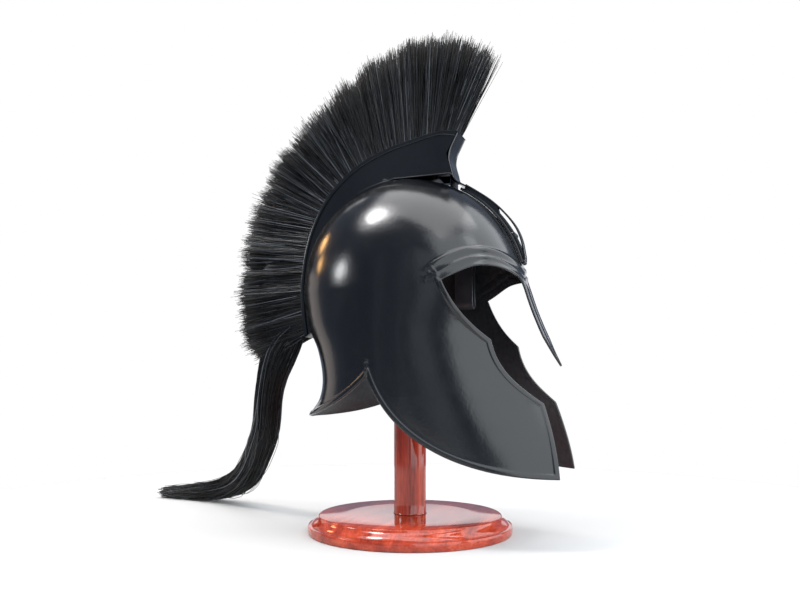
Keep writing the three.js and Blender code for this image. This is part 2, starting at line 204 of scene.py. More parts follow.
def piece(name, verts, faces, smooth=True):
    """A mesh object from points in millimetres."""
    mesh = bpy.data.meshes.new(name)
    mesh.from_pydata((np.asarray(verts, float) * MM).tolist(), [], [list(map(int, f)) for f in faces])
    mesh.validate()
    mesh.shade_smooth() if smooth else mesh.shade_flat()
    return show(name, mesh)


def mark_inner(made, start, end):
    """Tells the paint which points lie on the rougher inner side of the sheet."""
    inner = np.zeros(len(made.data.vertices))
    inner[start:end] = 1
    made.data.attributes.new("inner", "FLOAT", "POINT").data.foreach_set("value", inner)


def grid_faces(rows, columns, start=0, turned=False, wrap=False):
    faces = []
    last = columns if wrap else columns - 1
    for r in range(rows - 1):
        for c in range(last):
            a = start + r * columns + c
            b = start + r * columns + (c + 1) % columns
            quad = (a, b, b + columns, a + columns)
            faces.append(quad[::-1] if turned else quad)
    return faces


def slab(upper, lower):
    """A closed sheet between two grids of points, the upper one facing out."""
    rows, columns = upper.shape[:2]
    verts = np.vstack([upper.reshape(-1, 3), lower.reshape(-1, 3)])
    under = rows * columns
    faces = grid_faces(rows, columns) + grid_faces(rows, columns, under, True)
    ring = [(0, c) for c in range(columns)] + [(r, columns - 1) for r in range(1, rows)]
    ring += [(rows - 1, c) for c in range(columns - 2, -1, -1)] + [(r, 0) for r in range(rows - 2, 0, -1)]
    around = [r * columns + c for r, c in ring]
    for a, b in zip(around, around[1:] + around[:1]):
        faces.append((b, a, a + under, b + under))
    return verts, faces


def sweep(rings):
    """A closed tube through rings of points."""
    rings = np.array(rings, float)
    rows, columns = rings.shape[:2]
    verts = rings.reshape(-1, 3)
    faces = grid_faces(rows, columns, wrap=True)
    faces.append(tuple(range(columns))[::-1])
    faces.append(tuple((rows - 1) * columns + c for c in range(columns)))
    return verts, faces


def lathe(profile, steps):
    """A turned form round the Z axis, from its lower middle to its upper middle."""
    profile = np.array(profile, float)
    turn = np.linspace(0, 2 * math.pi, steps, endpoint=False)
    inner = profile[1:-1]
    rings = np.stack([inner[:, None, 0] * np.cos(turn), inner[:, None, 0] * np.sin(turn),
                      np.repeat(inner[:, None, 1], steps, 1)], -1)
    verts = np.vstack([rings.reshape(-1, 3), [[0, 0, profile[0, 1]], [0, 0, profile[-1, 1]]]])
    faces = grid_faces(len(inner), steps, wrap=True)
    low, high = len(verts) - 2, len(verts) - 1
    top = (len(inner) - 1) * steps
    for c in range(steps):
        after = (c + 1) % steps
        faces.append((low, after, c))
        faces.append((high, top + c, top + after))
    return verts, faces


def gather(name, parts, smooth=True, flat_over=None):
    """One object from several closed meshes, each with its faces turned outwards.

    Edges that turn by more than flat_over, in degrees, are shaded as creases.
    """
    verts, faces = [], []
    for part_verts, part_faces in parts:
        start = sum(len(v) for v in verts)
        verts.append(np.asarray(part_verts, float))
        faces += [tuple(i + start for i in f) for f in part_faces]
    made = piece(name, np.vstack(verts), faces, smooth)
    work = bmesh.new()
    work.from_mesh(made.data)
    bmesh.ops.recalc_face_normals(work, faces=work.faces)
    work.to_mesh(made.data)
    work.free()
    if flat_over is not None:
        made.data.set_sharp_from_angle(angle=math.radians(flat_over))
    return made


def finish_piece(made, material, slot, *stands_for):
    made.data.materials.clear()
    made.data.materials.append(material)
    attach(made, BODY)
    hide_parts(*stands_for)


# ---------- the helmet's surface ----------
front_power = through(((BOTTOM, 2.15), (190, 2.15), (EQUATOR, 2.6), (300, 2.2), (CROWN, 2)))
rear_reach = through((
    (BOTTOM, 112), (114, 104), (132, 91.5), (152, 87.5), (180, 92.5), (205, 103.5), (EQUATOR, BOWL_REAR),
))
half_width = through(((BOTTOM, 80), (128, 87), (187, 92), (EQUATOR, BOWL_HALF_WIDTH)))
nasal_lean = through(((NASAL_TIP, -14.7), (NASAL_KINK, -9.5), (222, -3.9), (244, -0.4), (254, 0), (300, 0)))


def section(level):
    climb = np.clip((level - EQUATOR) / RISE, 0, 1)
    scale = np.sqrt(1 - climb**2)
    low = level < EQUATOR
    side = np.where(low, half_width(level), BOWL_HALF_WIDTH * scale)
    rear = np.where(low, rear_reach(level), BOWL_REAR * scale)
    drop = np.maximum(CHEEK_START - level, 0)
    front = BOWL_FRONT * scale + drop * (CHEEK_SLOPE + CHEEK_CURVE * drop)
    return side, rear, front, CROWN_LEAN * climb, 2 / front_power(level)


def lean_at(x, level):
    """The nasal alone leans out in front of the bowl's own surface, and is flat across."""
    side, _, front, _, power = section(level)
    share = np.minimum(np.abs(x) / np.maximum(side, 1), 1) ** (2 / power)
    fall = front * (1 - (1 - share) ** (power / 2)) * (1 - smoothstep(232, 247, level))
    return (nasal_lean(level) - fall) * (1 - smoothstep(22, 36, np.abs(x)))


def on_surface(angle, level):
    """The angle runs from 0 in front, past the left side, to a half turn behind."""
    angle, level = np.broadcast_arrays(np.asarray(angle, float), np.asarray(level, float))
    side, rear, front, middle, power = section(level)
    forward, across = np.cos(angle), np.sin(angle)
    ahead = forward > 0
    reach = np.maximum(np.abs(forward), 1e-12)
    x = side * np.where(ahead, np.sign(across) * np.abs(across) ** power, across)
    y = middle - np.where(ahead, front * reach**power, -rear * reach)
    return np.stack([x, y + np.where(ahead, lean_at(x, level), 0), level], -1)


def level_of(climb):
    """The climb is an angle above the equator, and a plain height below it."""
    return EQUATOR + RISE * np.where(climb > 0, np.sin(np.minimum(climb, math.pi / 2)), climb)


def climb_of(level):
    rise = (np.asarray(level, float) - EQUATOR) / RISE
    return np.where(rise > 0, np.arcsin(np.clip(rise, 0, 1)), rise)


def normals_at(angle, level):
    climb = np.minimum(climb_of(level), math.pi / 2 - 0.006)
    turn, step = 0.012, 0.005
    along = on_surface(angle + turn, level_of(climb)) - on_surface(angle - turn, level_of(climb))
    up = on_surface(angle, level_of(climb + step)) - on_surface(angle, level_of(climb - step))
    return unit(np.cross(along, up))


def locate(points):
    """The angle and level of points that lie close to the surface, on the left half."""
    x, y, level = np.asarray(points, float).T
    side, rear, front, middle, power = section(level)
    forward = middle - (y - np.where(y < middle, lean_at(x, level), 0))
    across = np.maximum(x, 0) / side
    ahead = np.arctan2(across ** (1 / power), (np.maximum(forward, 0) / front) ** (1 / power))
    behind = np.arctan2(across, np.minimum(forward, 0) / rear)
    return np.where(forward > 0, ahead, behind), level


def from_side(points):
    """Angles and levels of side-view points (Y, Z)."""
    y, level = np.asarray(points, float).T
    _, rear, front, middle, power = section(level)
    ahead = np.arccos(np.clip(np.maximum(middle - y, 0) / front, 0, 1) ** (1 / power))
    behind = np.arccos(-np.clip((y - middle) / rear, 0, 1))
    return np.where(y < middle, ahead, behind), level


def from_front(points):
    """Angles and levels of front-view points (X, Z)."""
    x, level = np.asarray(points, float).T
    side, _, _, _, power = section(level)
    return np.arcsin(np.clip(x / side, 0, 1) ** (1 / power)), level


def bowl_hit(x, turn):
    """How far the bowl lies from the equator's middle at this side-view turn, for a given X."""
    x, turn = np.broadcast_arrays(np.asarray(x, float), np.asarray(turn, float))
    low, high = np.full(x.shape, 40.0), np.full(x.shape, 180.0)
    for _ in range(34):
        reach = (low + high) / 2
        y, level = reach * np.cos(turn), EQUATOR + reach * np.sin(turn)
        side, rear, front, middle, power = section(np.minimum(level, CROWN - 1e-6))
        ahead = y < middle
        share = np.where(ahead, 2 / power, 2)
        size = (np.abs(x) / side) ** share + (np.abs(y - middle) / np.where(ahead, front, rear)) ** share
        inside = (size < 1) & (level < CROWN)
        low, high = np.where(inside, reach, low), np.where(inside, high, reach)
    return low


def on_bowl(x, turn, lift):
    reach = bowl_hit(x, turn) + lift
    return np.stack(np.broadcast_arrays(x, reach * np.cos(turn), EQUATOR + reach * np.sin(turn)), -1)


# ---------- the helmet shell ----------
EDGE_GAP = 1.6                   # spacing of points along the edges
EDGE_ROUND = 0.35                # how far a sheet's cut edge is rounded
FINE = 1.15                      # spacing over beads, ridges and weld marks
COARSE = 2.7                     # spacing everywhere else
FLAT_BELOW = 1.7                 # how far the flat layout reaches below the equator, as a climb
FLAT_ROWS = 400
FLAT_COLUMNS = 360
BROW_START_ANGLE = 0.19          # where the brow's edge leaves the nasal's fillet
NECK_EDGE_END = (103.9, 114.6)   # where the neck's edge meets the rear middle line
# Distances in from the edge. The cheeks, bottom and neck have a broad raised border there,
# and the brow and nasal a narrow one.
BORDER_ROWS = (0, 0.35, 0.8, 1.6, 2.6, 3.9, 4.5, 5.1, 6.2)
BROAD = (0.3, 0.75, 0.9, 0.9, 0.9, 0.9, 0.5, 0.08, 0)
NARROW = (0.2, 0.5, 0.6, 0.5, 0.18, 0.03, 0, 0, 0)

# The brow's edge and its two raised beads, as levels at angles round the bowl.
TEMPLE_ANGLE = 1.147
brow_line = through(((0, 244), (0.3, 249), (0.6, 252), (0.85, 250), (TEMPLE_ANGLE, TEMPLE[1]), (1.3, 230)))
low_bead = through((
    (0, 247.8), (0.3, 254), (0.6, 259.5), (0.85, 258), (1.0, 253), (TEMPLE_ANGLE, 246), (1.28, 239),
))
high_bead = through((
    (0, 254.5), (0.3, 262), (0.6, 267), (0.85, 266), (1.0, 262), (TEMPLE_ANGLE, 255), (1.28, 247),
))


def edge_legs():
    """The edge of the left half, leg by leg, with the metal always to the left of the way along."""
    brow = np.linspace(BROW_START_ANGLE, TEMPLE_ANGLE, 60)
    fillet = bezier(((NASAL_HALF, NASAL_FILLET), (NASAL_HALF + 0.6, 245.2), (NASAL_FILLET_OUT, 246.4)), 10)
    nasal_side = np.array((
        (NASAL_KINK_HALF, NASAL_KINK), (16.4, 206), (15.7, 222), (NASAL_HALF, NASAL_FILLET),
    ))
    taper = np.array(((0, NASAL_TIP), (NASAL_KINK_HALF, NASAL_KINK)))
    upper = bezier((TEMPLE, (-70, 212), (-84, 198), UPPER_NOTCH), 30)
    middle = bezier((UPPER_NOTCH, (-103, 160), (-118, 146), LOWER_NOTCH), 30)
    lower = bezier((LOWER_NOTCH, (-152, 95), CHEEK_TIP), 30)
    bottom = np.vstack([bezier((CHEEK_TIP, (-118, 64), (-91, 71)), 20),
                        bezier(((-91, 71), (-40, 84), (-4, 112), EAR_NOTCH), 50)[1:]])
    neck = bezier((EAR_NOTCH, (45, 122), NECK_TIP), 60)
    neck = neck[neck[:, 0] < NECK_EDGE_END[0]]
    side = even(nasal_side, gap=4)
    tip_leg = from_front(even(taper, gap=2))
    angle, level = from_front(np.vstack([side, fillet[1:]]))
    brow_part = (np.r_[angle, brow[1:]], np.r_[level, brow_line(brow[1:])])
    angle, level = from_side(neck)
    back = (np.r_[angle, math.pi], np.r_[level, NECK_EDGE_END[1]])
    return [tip_leg, brow_part, from_side(upper), from_side(middle), from_side(lower),
            from_side(bottom), back]


def leg_frames(leg):
    """Evenly spaced points along a leg with their directions along and into the metal."""
    fine = on_surface(*leg)
    line = even(fine, gap=EDGE_GAP)
    angle, level = locate(line)
    line = on_surface(angle, level)
    along = np.gradient(line, axis=0)
    along[0] = line[1] - line[0]
    along[-1] = line[-1] - line[-2]
    normal = normals_at(angle, level)
    along = unit(along - normal * (along * normal).sum(1, keepdims=True))
    return line, along, np.cross(normal, along), normal


def corner_turn(before, after):
    """Signed turn of the edge at a corner, positive where the metal makes a tip."""
    _, along_in, _, normal = before
    _, along_out, _, _ = after
    cross = np.cross(along_in[-1], along_out[0])
    return math.atan2(float(cross @ normal[-1]), float(along_in[-1] @ along_out[0]))


def leg_rows(leg, turn_start, turn_end):
    """Rows of points at each distance in from the edge, mitred at both corners."""
    line, along, inward, _ = leg
    lengths = np.r_[0, np.cumsum(np.linalg.norm(np.diff(line, axis=0), axis=1))]
    share = np.linspace(0, 1, len(line))
    rows = []
    for width in BORDER_ROWS:
        first = width * math.tan(turn_start / 2)
        last = lengths[-1] - width * math.tan(turn_end / 2)
        at = first + share * (last - first)
        inside = np.clip(at, 0, lengths[-1])
        take = [np.stack([np.interp(inside, lengths, field[:, k]) for k in range(3)], 1)
                for field in (line, along, inward)]
        rows.append(take[0] + take[1] * (at - inside)[:, None] + take[2] * width)
    return np.array(rows)


class Half:
    """Points and faces of the left half of the sheet, kept as angles, levels and rises."""

    def __init__(self):
        self.angle, self.level, self.rise = [], [], []
        self.faces = []

    def add(self, angle, level, rise=0.0):
        self.angle.append(float(angle))
        self.level.append(float(level))
        self.rise.append(float(rise))
        return len(self.angle) - 1


def border(half):
    """Adds the rows along every leg, and returns the innermost row and the edge itself."""
    legs = [leg_frames(leg) for leg in edge_legs()]
    turns = [corner_turn(a, b) for a, b in zip(legs[:-1], legs[1:])]
    turns = [2 * math.asin(float(legs[0][1][0, 2]))] + turns + [0.0]
    inner, outer, before = [], [], None
    for number, leg in enumerate(legs):
        rows = leg_rows(leg, turns[number], turns[number + 1])
        heights = NARROW if number < 2 else BROAD
        table = np.zeros(rows.shape[:2], int)
        if number == 0:
            # both halves of a row meet on the middle line
            rows[..., 0] -= rows[:, :1, 0] * np.linspace(1, 0, rows.shape[1])
        for r, row in enumerate(rows):
            angle, level = locate(row)
            if number == 0:
                angle[0] = 0.0
            if number == len(legs) - 1:
                angle[-1] = math.pi
            for c in range(len(row)):
                if c == 0 and before is not None:
                    table[r, 0] = before[r, -1]
                    continue
                table[r, c] = half.add(angle[c], level[c], heights[r])
        for r in range(table.shape[0] - 1):
            for c in range(table.shape[1] - 1):
                half.faces.append((table[r, c], table[r, c + 1], table[r + 1, c + 1], table[r + 1, c]))
        inner += list(table[-1, (0 if number == 0 else 1):])
        outer += list(table[0, (0 if number == 0 else 1):])
        before = table
    return inner, outer


def arc_table():
    """Lengths round each level, measured from the middle of the side."""
    climbs = np.linspace(-FLAT_BELOW, math.pi / 2, FLAT_ROWS)
    lines = on_surface(np.linspace(0, math.pi, FLAT_COLUMNS + 1)[None], level_of(climbs)[:, None])
    steps = np.linalg.norm(np.diff(lines, axis=1), axis=-1)
    lengths = np.pad(np.cumsum(steps, 1), ((0, 0), (1, 0)))
    middle = FLAT_COLUMNS // 2
    return lengths - lengths[:, middle:middle + 1]


ARCS = arc_table()


def flat_place(angle, level):
    """The half laid out flat, level above level, where its faces are worked out."""
    climb = climb_of(level)
    row = np.clip((climb + FLAT_BELOW) / (math.pi / 2 + FLAT_BELOW), 0, 1) * (FLAT_ROWS - 1)
    column = np.asarray(angle) / math.pi * FLAT_COLUMNS
    i, j = np.minimum(row.astype(int), FLAT_ROWS - 2), np.minimum(column.astype(int), FLAT_COLUMNS - 1)
    s, t = row - i, column - j
    across = (ARCS[i, j] * (1 - t) + ARCS[i, j + 1] * t) * (1 - s)
    across += (ARCS[i + 1, j] * (1 - t) + ARCS[i + 1, j + 1] * t) * s
    return np.stack([across, climb * RISE], -1)


def within(points, outline):
    """Which points lie inside the closed outline."""
    inside = np.zeros(len(points), bool)
    x, y = points.T
    for (ax, ay), (bx, by) in zip(outline, np.roll(outline, -1, axis=0)):
        if ay == by:
            continue
        crosses = (ay > y) != (by > y)
        inside ^= crosses & (x < (bx - ax) * (y - ay) / (by - ay) + ax)
    return inside


def detailed(angle, level):
    """Where the sheet has beads, ridges or weld marks, and so needs fine faces."""
    brow = (angle < 1.42) & (level > brow_line(np.minimum(angle, 1.3)) - 4) & (level < high_bead(angle) + 6)
    nasal = (angle < 0.3) & (level < 262)
    temple = (np.abs(angle - 1.25) < 0.24) & (np.abs(level - 240) < 22)
    ear = (np.abs(angle - 1.72) < 0.12) & (level > 150) & (level < 180)
    return brow | nasal | temple | ear


def level_rows(gap, keep):
    """Evenly spaced points over the half, level by level, that pass the test."""
    count = int(RISE * math.pi / 2 / gap)
    climbs = np.r_[np.linspace(math.pi / 2, 0, count)[1:], -np.arange(gap, EQUATOR - BOTTOM, gap) / RISE]
    found = []
    for number, climb in enumerate(climbs):
        level = float(level_of(climb))
        angles = np.linspace(0, math.pi, 500)
        line = on_surface(angles, level)
        lengths = np.r_[0, np.cumsum(np.linalg.norm(np.diff(line, axis=0), axis=1))]
        shift = 0.5 * (number % 2)
        at = (np.arange(1, int(lengths[-1] / gap)) - shift * 0.98) * gap
        angle = np.interp(at, lengths, angles)
        chosen = keep(angle, np.full(len(angle), level))
        found.append(np.stack([angle[chosen], np.full(chosen.sum(), level)], 1))
    return np.vstack(found)


def middle_line(angle, start, end):
    """Levels along the front or rear middle line, fine where the sheet is detailed."""
    levels = [start]
    direction = 1 if end > start else -1
    while (end - levels[-1]) * direction > 0:
        here = levels[-1]
        fine = angle == 0 and here < 276
        slope = math.cos(float(climb_of(here))) if here > EQUATOR else 1
        levels.append(here + direction * max((FINE if fine else COARSE) * slope, 0.15))
    return levels[1:-1]


def fill(half, inner):
    """Triangles over all of the half inside its innermost border row."""
    rear_start = half.level[inner[-1]]
    front_start = half.level[inner[0]]
    rear = [half.add(math.pi, level) for level in middle_line(math.pi, rear_start, CROWN)]
    crown = half.add(0.0, CROWN)
    front = [half.add(0.0, level) for level in middle_line(0, front_start, CROWN)]
    outline = inner + rear + [crown] + front[::-1]
    angle, level = np.array(half.angle), np.array(half.level)
    places = flat_place(angle, level)
    points = np.vstack([
        level_rows(FINE, detailed),
        level_rows(COARSE, lambda a, z: ~detailed(a, z)),
    ])
    points = points[within(flat_place(*points.T), places[outline])]
    # points too close to the outline would make slivers
    near = kdtree.KDTree(len(outline))
    for number, at in enumerate(on_surface(angle[outline], level[outline])):
        near.insert(at, number)
    near.balance()
    clear = np.where(detailed(*points.T), 0.55 * FINE, 0.5 * COARSE)
    far = [near.find(at)[2] > gap for at, gap in zip(on_surface(*points.T), clear)]
    points = points[np.array(far)]
    inside = [half.add(*p) for p in points]
    numbers = outline + inside
    flat = flat_place(np.array(half.angle)[numbers], np.array(half.level)[numbers])
    loop = list(range(len(outline)))
    _, _, faces, origins, _, _ = delaunay_2d_cdt([Vector(p) for p in flat], [], [loop], 1, 1e-5)
    for face in faces:
        corners = [origins[v][0] for v in face]
        (ax, ay), (bx, by), (cx, cy) = flat[corners].tolist()
        left = (bx - ax) * (cy - ay) > (by - ay) * (cx - ax)
        half.faces.append(tuple(numbers[v] for v in (corners if left else corners[::-1])))


def weld_fan(y, z):
    """Rough ridges that spread back from the temple's corner."""
    rise = 0
    for number, direction in enumerate((3.25, 2.95, 2.6, 2.25)):
        along = (y - TEMPLE[0]) * -math.cos(direction) + (z - TEMPLE[1]) * math.sin(direction)
        off = (y - TEMPLE[0]) * math.sin(direction) + (z - TEMPLE[1]) * math.cos(direction)
        window = smoothstep(2, 5, along) * (1 - smoothstep(12, 19, along))
        rise = rise + 0.6 * window * bump(off, 2.0) * (0.7 + 0.3 * np.sin(along * 1.9 + number))
    return rise


def weld_line(y, z):
    """The welded seam above the ear notch."""
    along = z - EAR_NOTCH[1]
    window = smoothstep(0, 2, along) * (1 - smoothstep(13, 19, along))
    wander = 0.5 * np.sin(along * 0.8)
    return 1.9 * window * bump(y - EAR_NOTCH[0] - wander, 2.2) * (0.65 + 0.35 * np.sin(along * 2.4))


def relief(angle, level, points):
    """How far the beads, ridges and weld marks stand up from the sheet."""
    turn = np.abs(angle)
    x, y, z = points.T
    ends = 1 - smoothstep(1.16, 1.32, turn)
    beads = 0.95 * bump(level - low_bead(turn), 2.2) + 1.25 * bump(level - high_bead(turn), 4.0)
    # the band between the beads is very slightly hollow
    groove = 0.22 * bump(level - high_bead(turn) + 4.6, 2.4)
    ridge = 0.9 * np.clip(1 - np.abs(x) / 6, 0, 1) ** 1.5
    ridge = ridge * smoothstep(NASAL_TIP + 4, NASAL_TIP + 14, level) * (1 - smoothstep(236, 246, level))
    side = np.abs(x) > 60
    return (beads - groove) * ends + ridge + np.where(side, weld_fan(y, z) + weld_line(y, z), 0)


def dents(points, size, height):
    """Gentle unevenness of hand-raised metal."""
    return height * np.array([noise.noise(Vector(p) / size) for p in points])


def helmet_shell():
    half = Half()
    inner, outer = border(half)
    fill(half, inner)
    angle, level, rise = (np.array(v) for v in (half.angle, half.level, half.rise))
    middle = (angle == 0) | (np.abs(angle - math.pi) < 1e-9) | (level >= CROWN)
    count = len(angle)
    twin = np.arange(count)
    twin[~middle] = count + np.arange((~middle).sum())
    angle = np.r_[angle, -angle[~middle]]
    level = np.r_[level, level[~middle]]
    rise = np.r_[rise, rise[~middle]]
    points, normal = on_surface(angle, level), normals_at(angle, level)
    normal[level >= CROWN] = (0, 0, 1)
    points[np.abs(np.sin(angle)) < 1e-9, 0] = 0
    rise = rise + relief(angle, level, points)
    uneven = dents(points, 46, 0.32) + dents(points, 17, 0.07)
    outside = points + normal * (rise + uneven)[:, None]
    # the beads show only faintly on the inner side
    inside = points + normal * (0.3 * rise + uneven - SHEET)[:, None]
    faces = list(half.faces) + [tuple(twin[v] for v in f)[::-1] for f in half.faces]
    total = len(angle)
    edge = outer + [twin[v] for v in outer[-2:0:-1]]
    lip_from = 2 * total
    way_out = unit(outside[edge] - outside[inward_neighbours(half, outer, twin)])
    lip = (outside[edge] + inside[edge]) / 2 + way_out * EDGE_ROUND
    verts = np.vstack([outside, inside, lip])
    every = faces + [tuple(v + total for v in f)[::-1] for f in faces]
    for k in range(len(edge)):
        n = (k + 1) % len(edge)
        every.append((edge[n], edge[k], lip_from + k, lip_from + n))
        every.append((lip_from + n, lip_from + k, edge[k] + total, edge[n] + total))
    return verts, every, total


def inward_neighbours(half, outer, twin):
    """For each point of the edge, the next point in from it, all the way round."""
    inward = {}
    chosen = set(outer)
    for face in half.faces:
        if len(face) != 4:
            continue
        a, b, c, d = face
        if a in chosen and d not in chosen:
            inward.setdefault(a, d)
        if b in chosen and c not in chosen:
            inward.setdefault(b, c)
    left = [inward[v] for v in outer]
    return left + [twin[v] for v in left[-2:0:-1]]


# ---------- the crest box, strip and straps ----------
RIM_ROWS = (0, 0.35, 0.9, 3.9, 4.5, 5.1)
RIM_RISE = (0.35, 0.8, 0.95, 0.95, 0.55, 0.0)
BOX_COLUMNS = 90
WALL_ROWS = 14                   # rows below the rim's raised band
NOTCH_REACH = 0.16               # share of the wall's length that the notch pulls in


def rim_line():
    return even(spline(RIM, 120), count=BOX_COLUMNS)


def foot_line(x, lift):
    """The line where the crest box stands, level in front and then along the bowl."""
    turn = np.linspace(1.957, -0.3, BOX_COLUMNS + 1)
    line = on_bowl(x, turn, lift)
    level = CREST_FRONT_BASE[1] + lift
    line[:, 2] = np.where(line[:, 1] < 12, np.maximum(line[:, 2], level), line[:, 2])
    start = line[:, 1] < CREST_FRONT_BASE[0] + 8
    line[start, 1] += (CREST_FRONT_BASE[0] - line[0, 1]) * np.linspace(1, 0, start.sum())
    return line


def box_wall(sign):
    """One side wall, with a raised band along its rim and a notch in its front edge."""
    upper, lower = rim_line(), foot_line(CREST_HALF, GAP)[:, 1:]
    middle = (upper[0] + lower[0]) / 2
    fade = np.clip(1 - np.arange(BOX_COLUMNS + 1) / BOX_COLUMNS / NOTCH_REACH, 0, 1)
    heights = np.linalg.norm(upper - lower, axis=1)
    first = RIM_ROWS[-1] / heights
    places = [(np.minimum(step / heights, 0.9), rise) for step, rise in zip(RIM_ROWS, RIM_RISE)]
    places += [(first + (1 - first) * row / WALL_ROWS, 0) for row in range(1, WALL_ROWS + 1)]
    rows = []
    for down, rise in places:
        # the front edge runs in to the notch and out again
        reach = np.where(down < 0.5, down / 0.5, (1 - down) / 0.5)
        pull = (np.array(CREST_NOTCH) - middle) * (reach * fade)[:, None]
        line = upper + (lower - upper) * down[:, None] + pull
        wave = dents(np.c_[line, np.full(len(line), 9.0 * sign)], 38, 0.5)
        rows.append(np.c_[CREST_HALF + rise + wave, line])
    outside = np.array(rows)
    inside = outside.copy()
    inside[..., 0] = CREST_HALF - CREST_SHEET
    mirror = np.array((sign, 1, 1))
    return slab(outside * mirror, inside * mirror)


def box_flange(sign):
    """The foot that lies on the bowl along one side wall."""
    across = np.array((0, 0.4, 2, 4, 6, 7.6, 8.0)) * CREST_FOOT / 8
    thick = [CREST_SHEET * (0.6 if a > 7.8 else 1) for a in across]
    top = np.array([foot_line(CREST_HALF - 0.4 + a, GAP + t) for a, t in zip(across, thick)])
    low = np.array([foot_line(CREST_HALF - 0.4 + a, GAP) for a in across])
    top[..., 0] *= sign
    low[..., 0] *= sign
    return slab(top, low)


def ribbon(line, half, thick, columns=(-1, -0.94, -0.5, 0, 0.5, 0.94, 1), border=0.0):
    """A strip of metal along a (Y, Z) line, lying square to X, its outer side on the line."""
    line = np.array(line, float)
    tangent = unit(np.gradient(line, axis=0))
    out = np.stack([tangent[:, 1], -tangent[:, 0]], 1)
    if (out[0] @ (line[0] - (0, EQUATOR))) < 0:
        out = -out
    upper, lower = [], []
    for c in columns:
        drawn_in = EDGE_ROUND if abs(c) > 0.97 else 0
        rise = border if 0.6 < abs(c) <= 0.97 else -drawn_in
        x = np.full(len(line), c * half)
        upper.append(np.c_[x, line + out * rise])
        lower.append(np.c_[x, line - out * (thick - drawn_in)])
    return slab(np.array(upper), np.array(lower))


def front_plate():
    """The folded plate that closes the notched front, and its tongue down to the bowl."""
    fold = np.vstack([
        [(-54.6, 395.2), (-54.0, 395)], bezier(((-49, 385), CREST_NOTCH, (-45, 365)), 8),
        [(-47, 358)], bezier(((-48.2, 352.5), (-49.6, 347.4), (-53.5, 344.4)), 5),
        [(-57, 342.4), (-61.5, 339.8)],
    ])
    return ribbon(even(fold, gap=1.3), CREST_HALF + 0.7, CREST_SHEET)


def rivet(centre, axis, radius, height):
    """A domed rivet head."""
    turn = np.linspace(0, 2 * math.pi, 18, endpoint=False)
    axis = unit(np.array(axis, float))
    first = unit(np.cross(axis, (0.3, 0.2, 0.9)))
    second = np.cross(axis, first)
    rings = []
    for rise in np.linspace(0, 0.96, 6):
        size = radius * math.cos(rise * math.pi / 2)
        lift = height * math.sin(rise * math.pi / 2)
        rings.append([np.array(centre) + axis * lift + size * (first * math.cos(a) + second * math.sin(a))
                      for a in turn])
    return sweep([[p - axis * 0.6 for p in rings[0]]] + rings)


def crest_box():
    """Front plate, step, floor and rear wall, then each side's wall, flange and rivets."""
    rear = rim_line()[-1]
    closing = even(np.array((rear, foot_line(0, GAP)[-1, 1:])), gap=1.5)
    floor = foot_line(0, 0)[4:-2, 1:] + (0, 3.0)
    step = even(np.array(((-47.5, 352.5), (-47.5, 338.5))), gap=2)
    parts = [front_plate(), ribbon(step, CREST_HALF, CREST_SHEET)]
    parts += [ribbon(floor, CREST_HALF - CREST_SHEET, 2.5), ribbon(closing, CREST_HALF, CREST_SHEET)]
    for sign in (-1, 1):
        parts += [box_wall(sign), box_flange(sign)]
        parts.append(rivet((sign * (CREST_HALF + 0.2), 104.5, 214), (sign, 0, 0), 2.6, 1.6))
        parts.append(rivet((sign * (CREST_HALF + 4), 20.5, 352.4), (sign * 0.15, 0.1, 1), 2.2, 1.3))
    return parts


def front_line(start, end, lift):
    turns = np.linspace(start, end, 44)
    return on_bowl(0, turns, lift)[:, 1:]


def forehead_strip():
    """The strip on the bowl, the web, rib and band on top of it, and the band's end loop."""
    strip = ribbon(front_line(2.06, 2.905, GAP + STRIP_THICK), STRIP_HALF, STRIP_THICK,
                   columns=(-1, -0.95, -0.72, -0.64, 0, 0.64, 0.72, 0.95, 1), border=0.7)
    line = even(spline(BOW, 60), gap=1.4)
    end = bezier((BOW[-1], (-118.6, 264.5), (-118.0, 261.2), (-115.4, 261.8)), 8)[1:]
    band = np.vstack([line, end])
    split = int(len(line) * 0.42)
    root = front_line(2.08, 2.5, GAP + STRIP_THICK - 0.4)
    root = even(root, count=split - 1)
    web_top = np.array([np.c_[np.full(split, x), line[:split] + (0.2, -0.6)] for x in (-3.6, 3.6)])
    web_low = np.array([np.c_[np.full(split, x), root] for x in (-3.6, 3.6)])
    rib = ribbon(front_line(2.1, 2.88, RIB_LIFT), 2.7, RIB_LIFT - 1.2)
    parts = [strip, ribbon(band, BOW_HALF, 1.5, border=0.3), slab(web_top, web_low), rib]
    turn = np.linspace(0, 2 * math.pi, 20, endpoint=False)
    for centre, radius in (((-107, 290), 3.0), ((-116.4, 263.6), 1.9)):
        ring = np.c_[centre[0] + radius * np.cos(turn), centre[1] + radius * np.sin(turn)]
        parts.append(sweep([np.c_[np.full(20, x), centre + (ring - centre) * s]
                            for x, s in ((-5.4, 0.8), (-5, 1), (5, 1), (5.4, 0.8))]))
    return parts


